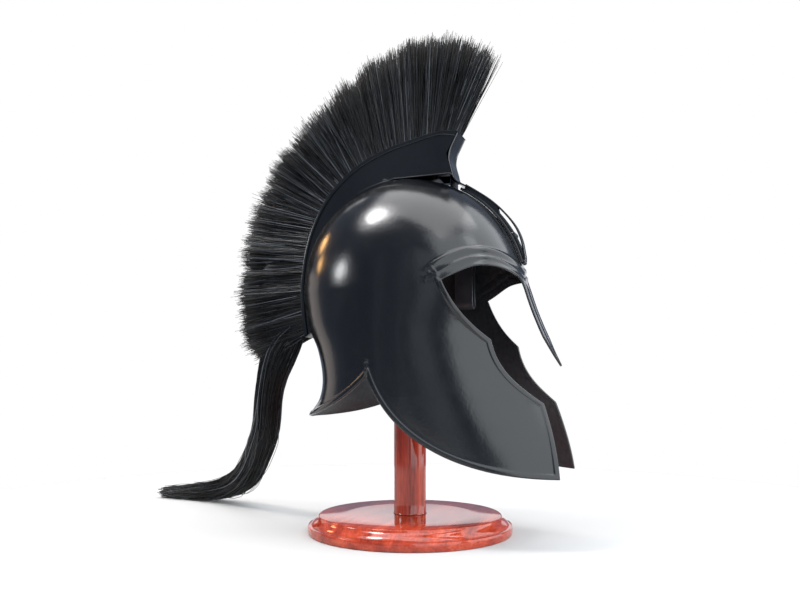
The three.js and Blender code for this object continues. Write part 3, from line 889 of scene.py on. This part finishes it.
def strap(sign):
    """A leather strap folded double, hanging inside the temple."""
    outer = STRAP_X + STRAP_THICK + 2 * STRAP_FOLD
    turn = np.linspace(math.pi, 2 * math.pi, 13)
    radius = STRAP_FOLD + STRAP_THICK / 2
    middle = (STRAP_X + outer) / 2
    fold = np.c_[middle + radius * np.cos(turn), STRAP_BOTTOM + radius + radius * np.sin(turn)]
    line = np.vstack([[(middle - radius, STRAP_TOP)], fold, [(middle + radius, STRAP_TOP)]])
    line = even(line, gap=3)
    line[:, 0] += 0.5 * np.sin(line[:, 1] / 11)
    tangent = unit(np.gradient(line, axis=0))
    side = np.stack([tangent[:, 1], -tangent[:, 0]], 1) * STRAP_THICK / 2
    upper, lower = [], []
    for across in (-1, -0.93, -0.8, -0.76, -0.4, 0, 0.4, 0.76, 0.8, 0.93, 1):
        size = 0.45 if abs(across) == 1 else (0.8 if abs(across) in (0.76, 0.8) else 1)
        y = np.full(len(line), STRAP_Y + across * STRAP_WIDTH / 2)
        for group, way in ((upper, 1), (lower, -1)):
            at = line + side * way * size
            group.append(np.stack([at[:, 0] * sign, y, at[:, 1]], 1))
    parts = [slab(np.array(upper), np.array(lower))]
    for y in (STRAP_Y - 5, STRAP_Y + 5):
        parts.append(rivet((sign * (middle - radius - 1), y, STRAP_TOP - 9), (-sign, 0, 0), 2.4, 1.0))
    return parts


# ---------- the hair ----------
FAN_STEPS = 120
HAIR_STRAY = 0.0042              # how far a brush hair's end strays each way, in metres
LOWEST_HAIR = 0.0004             # the tail's hairs stay this far above the floor, in metres
BRUSH_CUTS = (0, 0.27, 0.52, 0.77, 1.0)
HAIRS_PER_SQUARE_METRE = 2600000.0
TAIL_LOCKS = (                   # name, hairs, seed, stray, spread
    ("tail_hair_1", 900, 21, 0.010, 1.0), ("tail_hair_2", 900, 41, 0.012, 0.93),
    ("tail_flyaways", 46, 61, 0.045, 1.05),
)


def fan_lines(count):
    """Where the brush leaves the rim, and where its hairs are cut, from front to rear."""
    roots = spline([f[0] for f in FAN], count)
    ends = spline([f[1] for f in FAN], count)
    return roots, ends


def brush_core():
    """The dark inside of the brush, which the hairs cover."""
    roots, ends = fan_lines(60)
    roots, ends = roots[1:-1], ends[1:-1]
    reach = ends - roots
    sides = []
    for sign in (1, -1):
        rows = []
        for share, half in ((-0.1, 10.5), (0.1, 10.4), (0.35, 10), (0.6, 8.5), (0.78, 4.5), (0.84, 1.0)):
            rows.append(np.c_[np.full(len(roots), sign * half), roots + reach * share])
        sides.append(np.array(rows))
    return [slab(*sides)]


def tail_frames(count):
    """The tail's middle line, its direction, and how far it reaches back and sideways."""
    table = spline(TAIL, count)
    line = table[:, :3]
    along = unit(np.gradient(line, axis=0))
    back = unit(np.cross(along, (1, 0, 0)))
    side = np.cross(back, along)
    return line, along, back * table[:, 3:4], side * table[:, 4:5]


def tail_core():
    """The dark inside of the tail, which fades out before its end."""
    line, _, deep, wide = tail_frames(46)
    turn = np.linspace(0, 2 * math.pi, 16, endpoint=False)
    size = 0.6 * (1 - smoothstep(0.55, 0.9, np.linspace(0, 1, len(line)))) + 0.05
    rings = [line[i] + size[i] * (deep[i] * np.cos(turn)[:, None] + wide[i] * np.sin(turn)[:, None])
             for i in range(len(line))]
    return [sweep(rings)]


class Nodes:
    """A node tree under construction."""

    def node(self, kind, inputs=None, **settings):
        """A node with its settings, and each input linked to a socket or set to a value."""
        made = self.tree.nodes.new(kind)
        for key, value in settings.items():
            setattr(made, key, value)
        for key, value in (inputs or {}).items():
            if isinstance(value, bpy.types.NodeSocket):
                self.tree.links.new(value, made.inputs[key])
            else:
                made.inputs[key].default_value = value
        return made


class Tree(Nodes):
    """A Geometry Nodes tree, and the modifier inputs that set its sizes."""

    def __init__(self, name, sizes):
        self.tree = bpy.data.node_groups.new(name, "GeometryNodeTree")
        face = self.tree.interface
        face.new_socket(name="Geometry", in_out="INPUT", socket_type="NodeSocketGeometry")
        face.new_socket(name="Geometry", in_out="OUTPUT", socket_type="NodeSocketGeometry")
        self.sizes = {}
        for label, value in sizes.items():
            kind = "NodeSocketInt" if isinstance(value, int) else "NodeSocketFloat"
            self.sizes[label] = face.new_socket(name=label, in_out="INPUT", socket_type=kind).identifier
        self.values = sizes
        self.source = self.tree.nodes.new("NodeGroupInput")

    def size(self, label):
        return self.source.outputs[label]

    def math(self, operation, a, b=0.0):
        return self.node("ShaderNodeMath", {0: a, 1: b}, operation=operation).outputs[0]

    def vector(self, operation, a, b=(0, 0, 0)):
        key = "Scale" if operation == "SCALE" else 1
        return self.node("ShaderNodeVectorMath", {0: a, key: b}, operation=operation).outputs[0]

    def named(self, name, kind="FLOAT"):
        made = self.node("GeometryNodeInputNamedAttribute", {"Name": name}, data_type=kind)
        return made.outputs["Attribute"]

    def store(self, geometry, name, value, domain="POINT", kind="FLOAT"):
        made = self.node("GeometryNodeStoreNamedAttribute",
                         {"Geometry": geometry, "Name": name, "Value": value}, domain=domain, data_type=kind)
        return made.outputs[0]

    def random(self, low, high, seed, kind="FLOAT", identity=None):
        numbers = (0, 1) if kind == "FLOAT_VECTOR" else (2, 3)
        made = self.node("FunctionNodeRandomValue", data_type=kind)
        made.inputs[numbers[0]].default_value = low
        made.inputs[numbers[1]].default_value = high
        made.inputs["Seed"].default_value = seed
        if identity is not None:
            self.tree.links.new(identity, made.inputs["ID"])
        return made.outputs[0 if kind == "FLOAT_VECTOR" else 1]

    def noise(self, place, scale, height):
        """A smooth vector that wanders between plus and minus half the height."""
        made = self.node("ShaderNodeTexNoise", {"Vector": place, "Scale": scale, "Detail": 1.0})
        centred = self.vector("SUBTRACT", made.outputs["Color"], (0.5, 0.5, 0.5))
        return self.vector("SCALE", centred, height)

    def close(self, geometry, material):
        real = self.node("GeometryNodeRealizeInstances", {"Geometry": geometry}).outputs[0]
        painted = self.node("GeometryNodeSetMaterial", {"Geometry": real, "Material": material}).outputs[0]
        sink = self.tree.nodes.new("NodeGroupOutput")
        self.tree.links.new(painted, sink.inputs[0])

    def grow(self, name, base):
        """The mesh that the tree makes from a plain base mesh."""
        modifier = base.modifiers.new("grow", "NODES")
        modifier.node_group = self.tree
        for label, key in self.sizes.items():
            modifier[key] = self.values[label]
        graph = bpy.context.evaluated_depsgraph_get()
        mesh = bpy.data.meshes.new_from_object(base.evaluated_get(graph), depsgraph=graph)
        mesh.name = name
        made = show(name, mesh)
        bpy.data.objects.remove(base)
        mesh.shade_smooth()
        return made


def write_vectors(made, name, values):
    made.data.attributes.new(name, "FLOAT_VECTOR", "POINT").data.foreach_set(
        "vector", (np.asarray(values, float) * MM).ravel())


def brush_patch(name, first, last):
    """The patch inside the crest box where hairs grow, with the way that they reach."""
    roots, ends = fan_lines(FAN_STEPS)
    begin, finish = int(first * FAN_STEPS), int(last * FAN_STEPS)
    verts, reach = [], []
    columns = (-1, -0.5, 0, 0.5, 1)
    for number in range(begin, finish + 1):
        for c in columns:
            root = np.array((c * BRUSH_ROOT, *roots[number]))
            end = np.array((c * BRUSH_END * (0.75 + 0.25 * (1 - abs(c))), *ends[number]))
            verts.append(root)
            reach.append(end - root)
    made = piece(name + "_patch", verts, grid_faces(finish - begin + 1, len(columns)))
    write_vectors(made, "reach", reach)
    return made


def brush_tree(name, material, seed, count_per_area):
    """Short stiff hairs that stand on a patch and reach for the fan's cut ends, in metres."""
    tree = Tree(name, {
        "Hairs per square metre": count_per_area, "Hair Radius": 0.00036, "Wander": 0.012, "Seed": seed,
    })
    points = tree.node("GeometryNodeDistributePointsOnFaces", {
        "Mesh": tree.source.outputs[0],
        "Density": tree.size("Hairs per square metre"), "Seed": tree.size("Seed"),
    }).outputs["Points"]
    place = tree.node("GeometryNodeInputPosition").outputs[0]
    reach = tree.named("reach", "FLOAT_VECTOR")
    clump = tree.noise(place, 95.0, 0.020)
    stray = tree.random((-HAIR_STRAY,) * 3, (HAIR_STRAY,) * 3, 3, "FLOAT_VECTOR")
    way = tree.vector("ADD", tree.vector("ADD", reach, clump), stray)
    long = tree.node("ShaderNodeVectorMath", {0: way}, operation="LENGTH").outputs["Value"]
    trimmed = tree.math("MULTIPLY", long, tree.random(0.89, 1.03, 5))
    hair = tree.node("GeometryNodeMeshCone", {
        "Vertices": 3, "Side Segments": 4, "Radius Top": 0.5, "Radius Bottom": 1.0, "Depth": 1.0,
    }, fill_type="NONE").outputs["Mesh"]
    up = tree.node("ShaderNodeSeparateXYZ", {0: place}).outputs["Z"]
    hair = tree.store(hair, "along", up)
    turned = tree.node("FunctionNodeAlignRotationToVector", {"Vector": way}, axis="Z").outputs[0]
    thin = tree.size("Hair Radius")
    size = tree.node("ShaderNodeCombineXYZ", {"X": thin, "Y": thin, "Z": trimmed}).outputs[0]
    planted = tree.node("GeometryNodeInstanceOnPoints", {
        "Points": points, "Instance": hair, "Rotation": turned, "Scale": size,
    }).outputs[0]
    planted = tree.store(planted, "root", place, "INSTANCE", "FLOAT_VECTOR")
    # a random value per hair: its tone, and at the top end a painted highlight streak
    planted = tree.store(planted, "tone_and_highlight", tree.random(0.0, 1.0, 9), "INSTANCE")
    real = tree.node("GeometryNodeRealizeInstances", {"Geometry": planted}).outputs[0]
    bend = tree.math("POWER", tree.named("along"), 2.0)
    wander = tree.vector("SCALE", tree.noise(tree.named("root", "FLOAT_VECTOR"), 260.0, 1.0),
                         tree.math("MULTIPLY", bend, tree.size("Wander")))
    moved = tree.node("GeometryNodeSetPosition", {"Geometry": real, "Offset": wander}).outputs[0]
    tree.close(moved, material)
    return tree


def tail_base(name, spread):
    """A line down the middle of the tail that knows how deep and wide the tail is."""
    line, _, deep, wide = tail_frames(26)
    mesh = bpy.data.meshes.new(name + "_line")
    mesh.from_pydata((line * MM).tolist(), [(i, i + 1) for i in range(len(line) - 1)], [])
    made = show(name + "_line", mesh)
    write_vectors(made, "deep", deep * spread)
    write_vectors(made, "wide", wide * spread)
    return made


def above_floor(tree, hairs):
    """The same hairs, with none of them in the floor."""
    parts = tree.node("ShaderNodeSeparateXYZ", {0: tree.node("GeometryNodeInputPosition").outputs[0]})
    lifted = tree.node("ShaderNodeCombineXYZ", {
        "X": parts.outputs[0], "Y": parts.outputs[1],
        "Z": tree.math("MAXIMUM", parts.outputs[2], LOWEST_HAIR)})
    return tree.node("GeometryNodeSetPosition", {
        "Geometry": hairs, "Position": lifted.outputs[0]}).outputs[0]


def tail_tree(name, material, count, seed, stray):
    """Long hairs that follow the tail's line, each at its own place in the tail's section."""
    tree = Tree(name, {"Hairs": count, "Hair Radius": 0.00038, "Stray": stray})
    curve = tree.node("GeometryNodeMeshToCurve", {"Mesh": tree.source.outputs[0]}).outputs[0]
    copies = tree.node("GeometryNodeDuplicateElements", {
        "Geometry": curve, "Amount": tree.size("Hairs")}, domain="SPLINE")
    number = copies.outputs["Duplicate Index"]
    turn = tree.random(0.0, 2 * math.pi, seed, identity=number)
    out = tree.math("POWER", tree.random(0.16, 1.0, seed + 1, identity=number), 0.5)
    kept = tree.store(copies.outputs[0], "turn", turn)
    kept = tree.store(kept, "out", out)
    # a random value per hair: its tone, and at the top end a painted highlight streak
    kept = tree.store(kept, "tone_and_highlight", tree.random(0.0, 1.0, seed + 2, identity=number))
    kept = tree.store(kept, "shift", tree.random((-1, -1, -1), (1, 1, 1), seed + 3, "FLOAT_VECTOR", number),
                      kind="FLOAT_VECTOR")
    along = tree.node("GeometryNodeSplineParameter").outputs["Factor"]
    kept = tree.store(kept, "along", along)
    radius = tree.named("out")
    twist = tree.math("ADD", tree.named("turn"), tree.math("MULTIPLY", along, 0.9))
    across = tree.vector("SCALE", tree.named("wide", "FLOAT_VECTOR"),
                         tree.math("MULTIPLY", radius, tree.math("SINE", twist)))
    down = tree.vector("SCALE", tree.named("deep", "FLOAT_VECTOR"),
                       tree.math("MULTIPLY", radius, tree.math("COSINE", twist)))
    offset = tree.vector("ADD", across, down)
    place = tree.node("GeometryNodeInputPosition").outputs[0]
    seeded = tree.vector("ADD", place, tree.vector("SCALE", tree.named("shift", "FLOAT_VECTOR"), 0.35))
    loose = tree.math("MULTIPLY", tree.math("ADD", 0.25, along), tree.size("Stray"))
    wander = tree.vector("SCALE", tree.noise(seeded, 9.0, 1.0), loose)
    offset = tree.vector("ADD", offset, wander)
    moved = tree.node("GeometryNodeSetPosition", {"Geometry": kept, "Offset": offset}).outputs[0]
    cut = tree.node("GeometryNodeTrimCurve", {
        "Curve": moved, "Start": 0.0, "End": tree.random(0.80, 1.0, seed + 5)}, mode="FACTOR").outputs[0]
    smooth = tree.node("GeometryNodeResampleCurve", {"Curve": cut, "Count": 24}).outputs[0]
    far = tree.node("GeometryNodeSplineParameter").outputs["Factor"]
    fine = tree.math("SUBTRACT", 1.0, tree.math("MULTIPLY", tree.math("POWER", far, 3.0), 0.75))
    sized = tree.node("GeometryNodeSetCurveRadius", {"Curve": smooth, "Radius": fine}).outputs[0]
    ring = tree.node("GeometryNodeCurvePrimitiveCircle", {
        "Resolution": 3, "Radius": tree.size("Hair Radius")}, mode="RADIUS").outputs["Curve"]
    tubes = tree.node("GeometryNodeCurveToMesh", {"Curve": sized, "Profile Curve": ring, "Fill Caps": True})
    tree.close(above_floor(tree, tubes.outputs[0]), material)
    return tree


# ---------- the stand ----------
def stand_base():
    """A turned disc with a rounded foot, a step and an ogee up to its flat top."""
    ogee = bezier(((BASE_RADIUS - 3.5, 9.6), (BASE_RADIUS - 6, 13.2), (BASE_TOP_RADIUS, 14.5),
                   (BASE_TOP_RADIUS, BASE_HEIGHT)), 12)
    profile = [(0, 0), (BASE_RADIUS - 2, 0), (BASE_RADIUS - 0.5, 0.5), (BASE_RADIUS, 2)]
    profile += [(BASE_RADIUS, 7.2), (BASE_RADIUS - 0.4, 8.2)]
    profile += [(BASE_RADIUS - 1.6, 8.6), (BASE_RADIUS - 3.4, 8.7)]
    profile += [tuple(p) for p in ogee[:-1]]
    profile += [(BASE_TOP_RADIUS - 0.3, BASE_HEIGHT - 0.4), (BASE_TOP_RADIUS - 1.2, BASE_HEIGHT)]
    profile += [(BASE_TOP_RADIUS - 30, BASE_HEIGHT), (0, BASE_HEIGHT)]
    return [lathe(profile, 160)]


def stand_post():
    """A round post that ends in a dome just under the crown."""
    top = CROWN - SHEET - POST_CLEARANCE
    dome = np.linspace(0, math.pi / 2, 12)[:-1]
    foot = BASE_HEIGHT + GAP
    profile = [(0, foot), (POST_RADIUS + 0.6, foot), (POST_RADIUS, BASE_HEIGHT + 1.4)]
    profile += [(POST_RADIUS, z) for z in np.linspace(30, top - POST_DOME - 1, 12)]
    profile += [(POST_RADIUS * math.cos(a), top - POST_DOME * (1 - math.sin(a))) for a in dome]
    profile += [(0, top)]
    return [lathe(profile, 64)]


# ---------- materials ----------
class Shader(Nodes):
    """A material under construction."""

    def __init__(self, name, **constants):
        self.material = bpy.data.materials.new(name)
        self.material.use_nodes = True
        self.tree = self.material.node_tree
        self.surface = self.tree.nodes["Principled BSDF"]
        for label, value in constants.items():
            self.surface.inputs[label.replace("_", " ")].default_value = value

    def place(self, scale=(1, 1, 1)):
        where = self.node("ShaderNodeTexCoord").outputs["Object"]
        return self.node("ShaderNodeMapping", {"Vector": where, "Scale": scale}).outputs[0]

    def noise(self, place, scale, detail=2.0, distortion=0.0):
        return self.node("ShaderNodeTexNoise", {
            "Vector": place, "Scale": scale, "Detail": detail, "Distortion": distortion}).outputs["Fac"]

    def ramp(self, value, stops):
        made = self.node("ShaderNodeValToRGB", {"Fac": value})
        while len(made.color_ramp.elements) < len(stops):
            made.color_ramp.elements.new(0.5)
        for element, (position, colour) in zip(made.color_ramp.elements, stops):
            element.position = position
            element.color = (*colour, 1)
        return made.outputs["Color"]

    def mix(self, share, first, second, blend="MIX"):
        made = self.node("ShaderNodeMix", {"Factor": share, "A": first, "B": second},
                         data_type="RGBA", blend_type=blend)
        return made.outputs["Result"]

    def spread(self, value, low, high):
        return self.node("ShaderNodeMapRange", {"Value": value, "To Min": low, "To Max": high}).outputs[0]

    def feed(self, label, value):
        self.tree.links.new(value, self.surface.inputs[label])

    def bump(self, height, strength, distance):
        made = self.node("ShaderNodeBump", {"Height": height, "Strength": strength, "Distance": distance})
        self.feed("Normal", made.outputs["Normal"])


def paint():
    """Glossy black paint, rougher and a little greyer on the inner side."""
    shader = Shader("painted_steel", IOR=1.52)
    place = shader.place()
    inner = shader.node("ShaderNodeAttribute", attribute_name="inner").outputs["Fac"]
    black = shader.ramp(shader.noise(place, 22.0, 4.0), (
        (0.3, (0.0014, 0.0018, 0.0026)), (0.7, (0.0028, 0.0034, 0.0044))))
    matt = shader.ramp(shader.noise(place, 260.0, 4.0), (
        (0.3, (0.008, 0.010, 0.013)), (0.7, (0.022, 0.026, 0.031))))
    shader.feed("Base Color", shader.mix(inner, black, matt))
    gloss = shader.spread(shader.noise(place, 60.0, 3.0), 0.13, 0.25)
    shader.feed("Roughness", shader.node(
        "ShaderNodeMath", {0: inner, 1: 0.3, 2: gloss}, operation="MULTIPLY_ADD").outputs[0])
    shader.bump(shader.noise(place, 300.0, 3.0), 0.12, 0.0006)
    return shader.material


def hair():
    """Black hair with its tone varied at random, a few strands painted pale as highlight streaks, and greyer
    cut ends.
    """
    shader = Shader("plume_hair", IOR=1.4)
    tone_and_highlight = shader.node("ShaderNodeAttribute", attribute_name="tone_and_highlight").outputs["Fac"]
    along = shader.node("ShaderNodeAttribute", attribute_name="along").outputs["Fac"]
    # Values above about 0.8 paint pale bluish strands. These are painted highlight streaks, not pale hairs.
    dark = shader.ramp(tone_and_highlight, ((0.0, (0.0005, 0.0006, 0.0011)), (0.78, (0.0015, 0.0018, 0.0028)),
                              (0.90, (0.022, 0.025, 0.033)), (1.0, (0.13, 0.145, 0.17))))
    tip = shader.ramp(along, ((0.72, (0.0, 0.0, 0.0)), (1.0, (0.034, 0.031, 0.028))))
    shader.feed("Base Color", shader.mix(1.0, dark, tip, "ADD"))
    shader.feed("Roughness", shader.spread(tone_and_highlight, 0.24, 0.4))
    return shader.material


def leather():
    """Dark grainy strap leather."""
    shader = Shader("strap_leather", IOR=1.45)
    place = shader.place()
    shader.feed("Base Color", shader.ramp(shader.noise(place, 40.0, 4.0), (
        (0.3, (0.022, 0.024, 0.030)), (0.75, (0.042, 0.045, 0.054)))))
    shader.feed("Roughness", shader.spread(shader.noise(place, 120.0, 3.0), 0.30, 0.5))
    shader.bump(shader.noise(place, 700.0, 3.0), 0.35, 0.0006)
    return shader.material


def wood(name, grain_way):
    """Lacquered red-brown hardwood, its grain drawn out along one axis."""
    shader = Shader(name, IOR=1.5)
    grain = shader.noise(shader.place(grain_way), 9.0, 6.0, 0.5)
    fine = shader.noise(shader.place(tuple(7 * v for v in grain_way)), 9.0, 3.0)
    both = shader.node("ShaderNodeMath", {0: grain, 1: 0.66}, operation="MULTIPLY").outputs[0]
    more = shader.node("ShaderNodeMath", {0: fine, 1: 0.34, 2: both}, operation="MULTIPLY_ADD").outputs[0]
    shader.feed("Base Color", shader.ramp(more, (
        (0.33, (0.16, 0.016, 0.008)), (0.5, (0.36, 0.042, 0.019)), (0.67, (0.56, 0.09, 0.04)))))
    shader.feed("Roughness", shader.spread(fine, 0.05, 0.11))
    return shader.material


def ground():
    return Shader("pale_floor", Base_Color=(0.5, 0.5, 0.5, 1), Roughness=0.85).material


# ---------- the pieces put together ----------
def add(name, parts, material, slot, node, flat_over=None):
    """A finished piece from closed meshes."""
    finish_piece(gather(name, parts, flat_over=flat_over), material, slot, node)


def build():
    steel, fibre, hide = paint(), hair(), leather()
    verts, faces, count = helmet_shell()
    skin = piece("helmet_skin", verts, faces)
    mark_inner(skin, count, 2 * count)
    finish_piece(skin, steel, "painted_steel", "helmet_shell")
    add("crest_box", crest_box(), steel, "painted_steel", "crest_holder", 32)
    add("brow_strip", forehead_strip(), steel, "painted_steel", "forehead_strip", 40)
    add("strap_left", strap(1), hide, "strap_leather", "liner_strap_left", 50)
    add("strap_right", strap(-1), hide, "strap_leather", "liner_strap_right", 50)
    add("brush_core", brush_core(), fibre, "plume_hair", "plume_brush")
    for number, (first, last) in enumerate(zip(BRUSH_CUTS[:-1], BRUSH_CUTS[1:])):
        name = "brush_hair_" + str(number + 1)
        tree = brush_tree(name, fibre, 11 + number, HAIRS_PER_SQUARE_METRE)
        made = tree.grow(name, brush_patch(name, first, last))
        finish_piece(made, fibre, "plume_hair", "plume_brush")
    add("tail_core", tail_core(), fibre, "plume_hair", "plume_tail")
    for name, count, seed, stray, spread in TAIL_LOCKS:
        made = tail_tree(name, fibre, count, seed, stray).grow(name, tail_base(name, spread))
        finish_piece(made, fibre, "plume_hair", "plume_tail")
    add("wooden_base", stand_base(), wood("base_wood", (1.1, 9.0, 9.0)), "stand_wood", "stand_base", 30)
    add("wooden_post", stand_post(), wood("post_wood", (9.0, 9.0, 0.8)), "stand_wood", "stand_post", 30)


# ---------- the stage ----------
FLOOR_RADIUS = 640.0
FLOOR_TOP = -0.05


def floor():
    """A round pale slab just under the stand and the tail."""
    profile = ((0, -3), (FLOOR_RADIUS, -3), (FLOOR_RADIUS, FLOOR_TOP), (0, FLOOR_TOP))
    made = gather("floor", [lathe(profile, 96)], smooth=False)
    made.data.materials.append(ground())


def soft_light(name, azimuth, elevation, distance, size, radiance, colour=(1, 1, 1), tall=None,
               shape="RECTANGLE"):
    """A flat light that faces the helmet and shines with a given radiance."""
    light = bpy.data.lights.new(name, "AREA")
    light.shape = shape
    light.size, light.size_y = size, tall or size
    area = light.size * light.size_y * (1 if shape == "RECTANGLE" else math.pi / 4)
    light.energy = radiance * math.pi * area
    light.color = colour
    made = show(name, light)
    a, e = math.radians(azimuth), math.radians(elevation)
    way = Vector((math.cos(a) * math.cos(e), math.sin(a) * math.cos(e), math.sin(e)))
    made.location = Vector((0, 0, 0.25)) + way * distance
    made.rotation_euler = way.to_track_quat("Z", "Y").to_euler()
    made.visible_camera = False


def lights():
    soft_light("side_wall_a", 229, 22, 1.9, 1.95, 2.5, (0.93, 0.975, 1.0), 3.0)
    soft_light("side_wall_b", 289, 24, 1.9, 2.1, 2.7, (0.95, 0.98, 1.0), 3.2)
    soft_light("half_lit_wall", 185, 14, 1.9, 0.5, 0.65, (0.85, 0.94, 1.0), 1.8)
    soft_light("door_gap_a", 171, 10, 1.9, 0.08, 0.5, (0.8, 0.9, 1.0), 1.8)
    soft_light("door_gap_b", 159, 8, 1.9, 0.07, 0.45, (0.8, 0.9, 1.0), 1.6)
    soft_light("ceiling", 250, 88, 2.0, 1.9, 3.6)
    soft_light("back_panel", 50, 44, 2.2, 0.8, 2.6)
    soft_light("backdrop", 20, 9, 2.2, 2.7, 1.05, (1, 0.98, 0.96), 0.5)
    soft_light("lamp_high", 127, 60, 1.8, 0.42, 30, shape="ELLIPSE")
    soft_light("lamp_high_glow", 127, 59, 1.85, 0.85, 3, shape="ELLIPSE")
    soft_light("lamp_low", 121, 17, 1.9, 0.40, 15, (0.97, 0.99, 1.0), 0.36, "ELLIPSE")
    soft_light("lamp_low_glow", 121, 17, 1.95, 0.75, 1.8, (0.97, 0.99, 1.0), 0.7, "ELLIPSE")
    soft_light("lamp_warm_a", 76, 27, 1.9, 0.26, 15, (1, 0.55, 0.2), shape="ELLIPSE")
    soft_light("lamp_warm_b", 86, 19, 1.9, 0.24, 13, (1, 0.55, 0.2), shape="ELLIPSE")
    soft_light("warm_room", 72, 0, 2.4, 1.5, 0.8, (1, 0.84, 0.7), 1.2)


def surroundings():
    """A white backdrop for the camera, a dim fill, and a dark room in the reflections."""
    world = bpy.data.worlds.new("room")
    bpy.context.scene.world = world
    world.use_nodes = True
    nodes, links = world.node_tree.nodes, world.node_tree.links
    nodes.clear()
    ray = nodes.new("ShaderNodeLightPath")
    seen, mirrored, fill = (nodes.new("ShaderNodeBackground") for _ in range(3))
    for node, colour in ((seen, (1, 1, 1)), (mirrored, (0.20, 0.24, 0.32)), (fill, (0.4, 0.42, 0.45))):
        node.inputs[0].default_value = (*colour, 1)
    by_gloss, by_camera = nodes.new("ShaderNodeMixShader"), nodes.new("ShaderNodeMixShader")
    out = nodes.new("ShaderNodeOutputWorld")
    links.new(ray.outputs["Is Glossy Ray"], by_gloss.inputs[0])
    links.new(fill.outputs[0], by_gloss.inputs[1])
    links.new(mirrored.outputs[0], by_gloss.inputs[2])
    links.new(ray.outputs["Is Camera Ray"], by_camera.inputs[0])
    links.new(by_gloss.outputs[0], by_camera.inputs[1])
    links.new(seen.outputs[0], by_camera.inputs[2])
    links.new(by_camera.outputs[0], out.inputs[0])


def camera():
    lens = bpy.data.cameras.new("camera")
    lens.lens = 33.75
    lens.shift_y = 0.07
    made = show("camera", lens)
    made.location = (-0.7150, -0.2495, 0.143)
    made.rotation_euler = (math.radians(92.44), 0, math.radians(-70))
    bpy.context.scene.camera = made


build()
floor()
lights()
surroundings()
camera()
bpy.context.scene.view_settings.view_transform = "Standard"
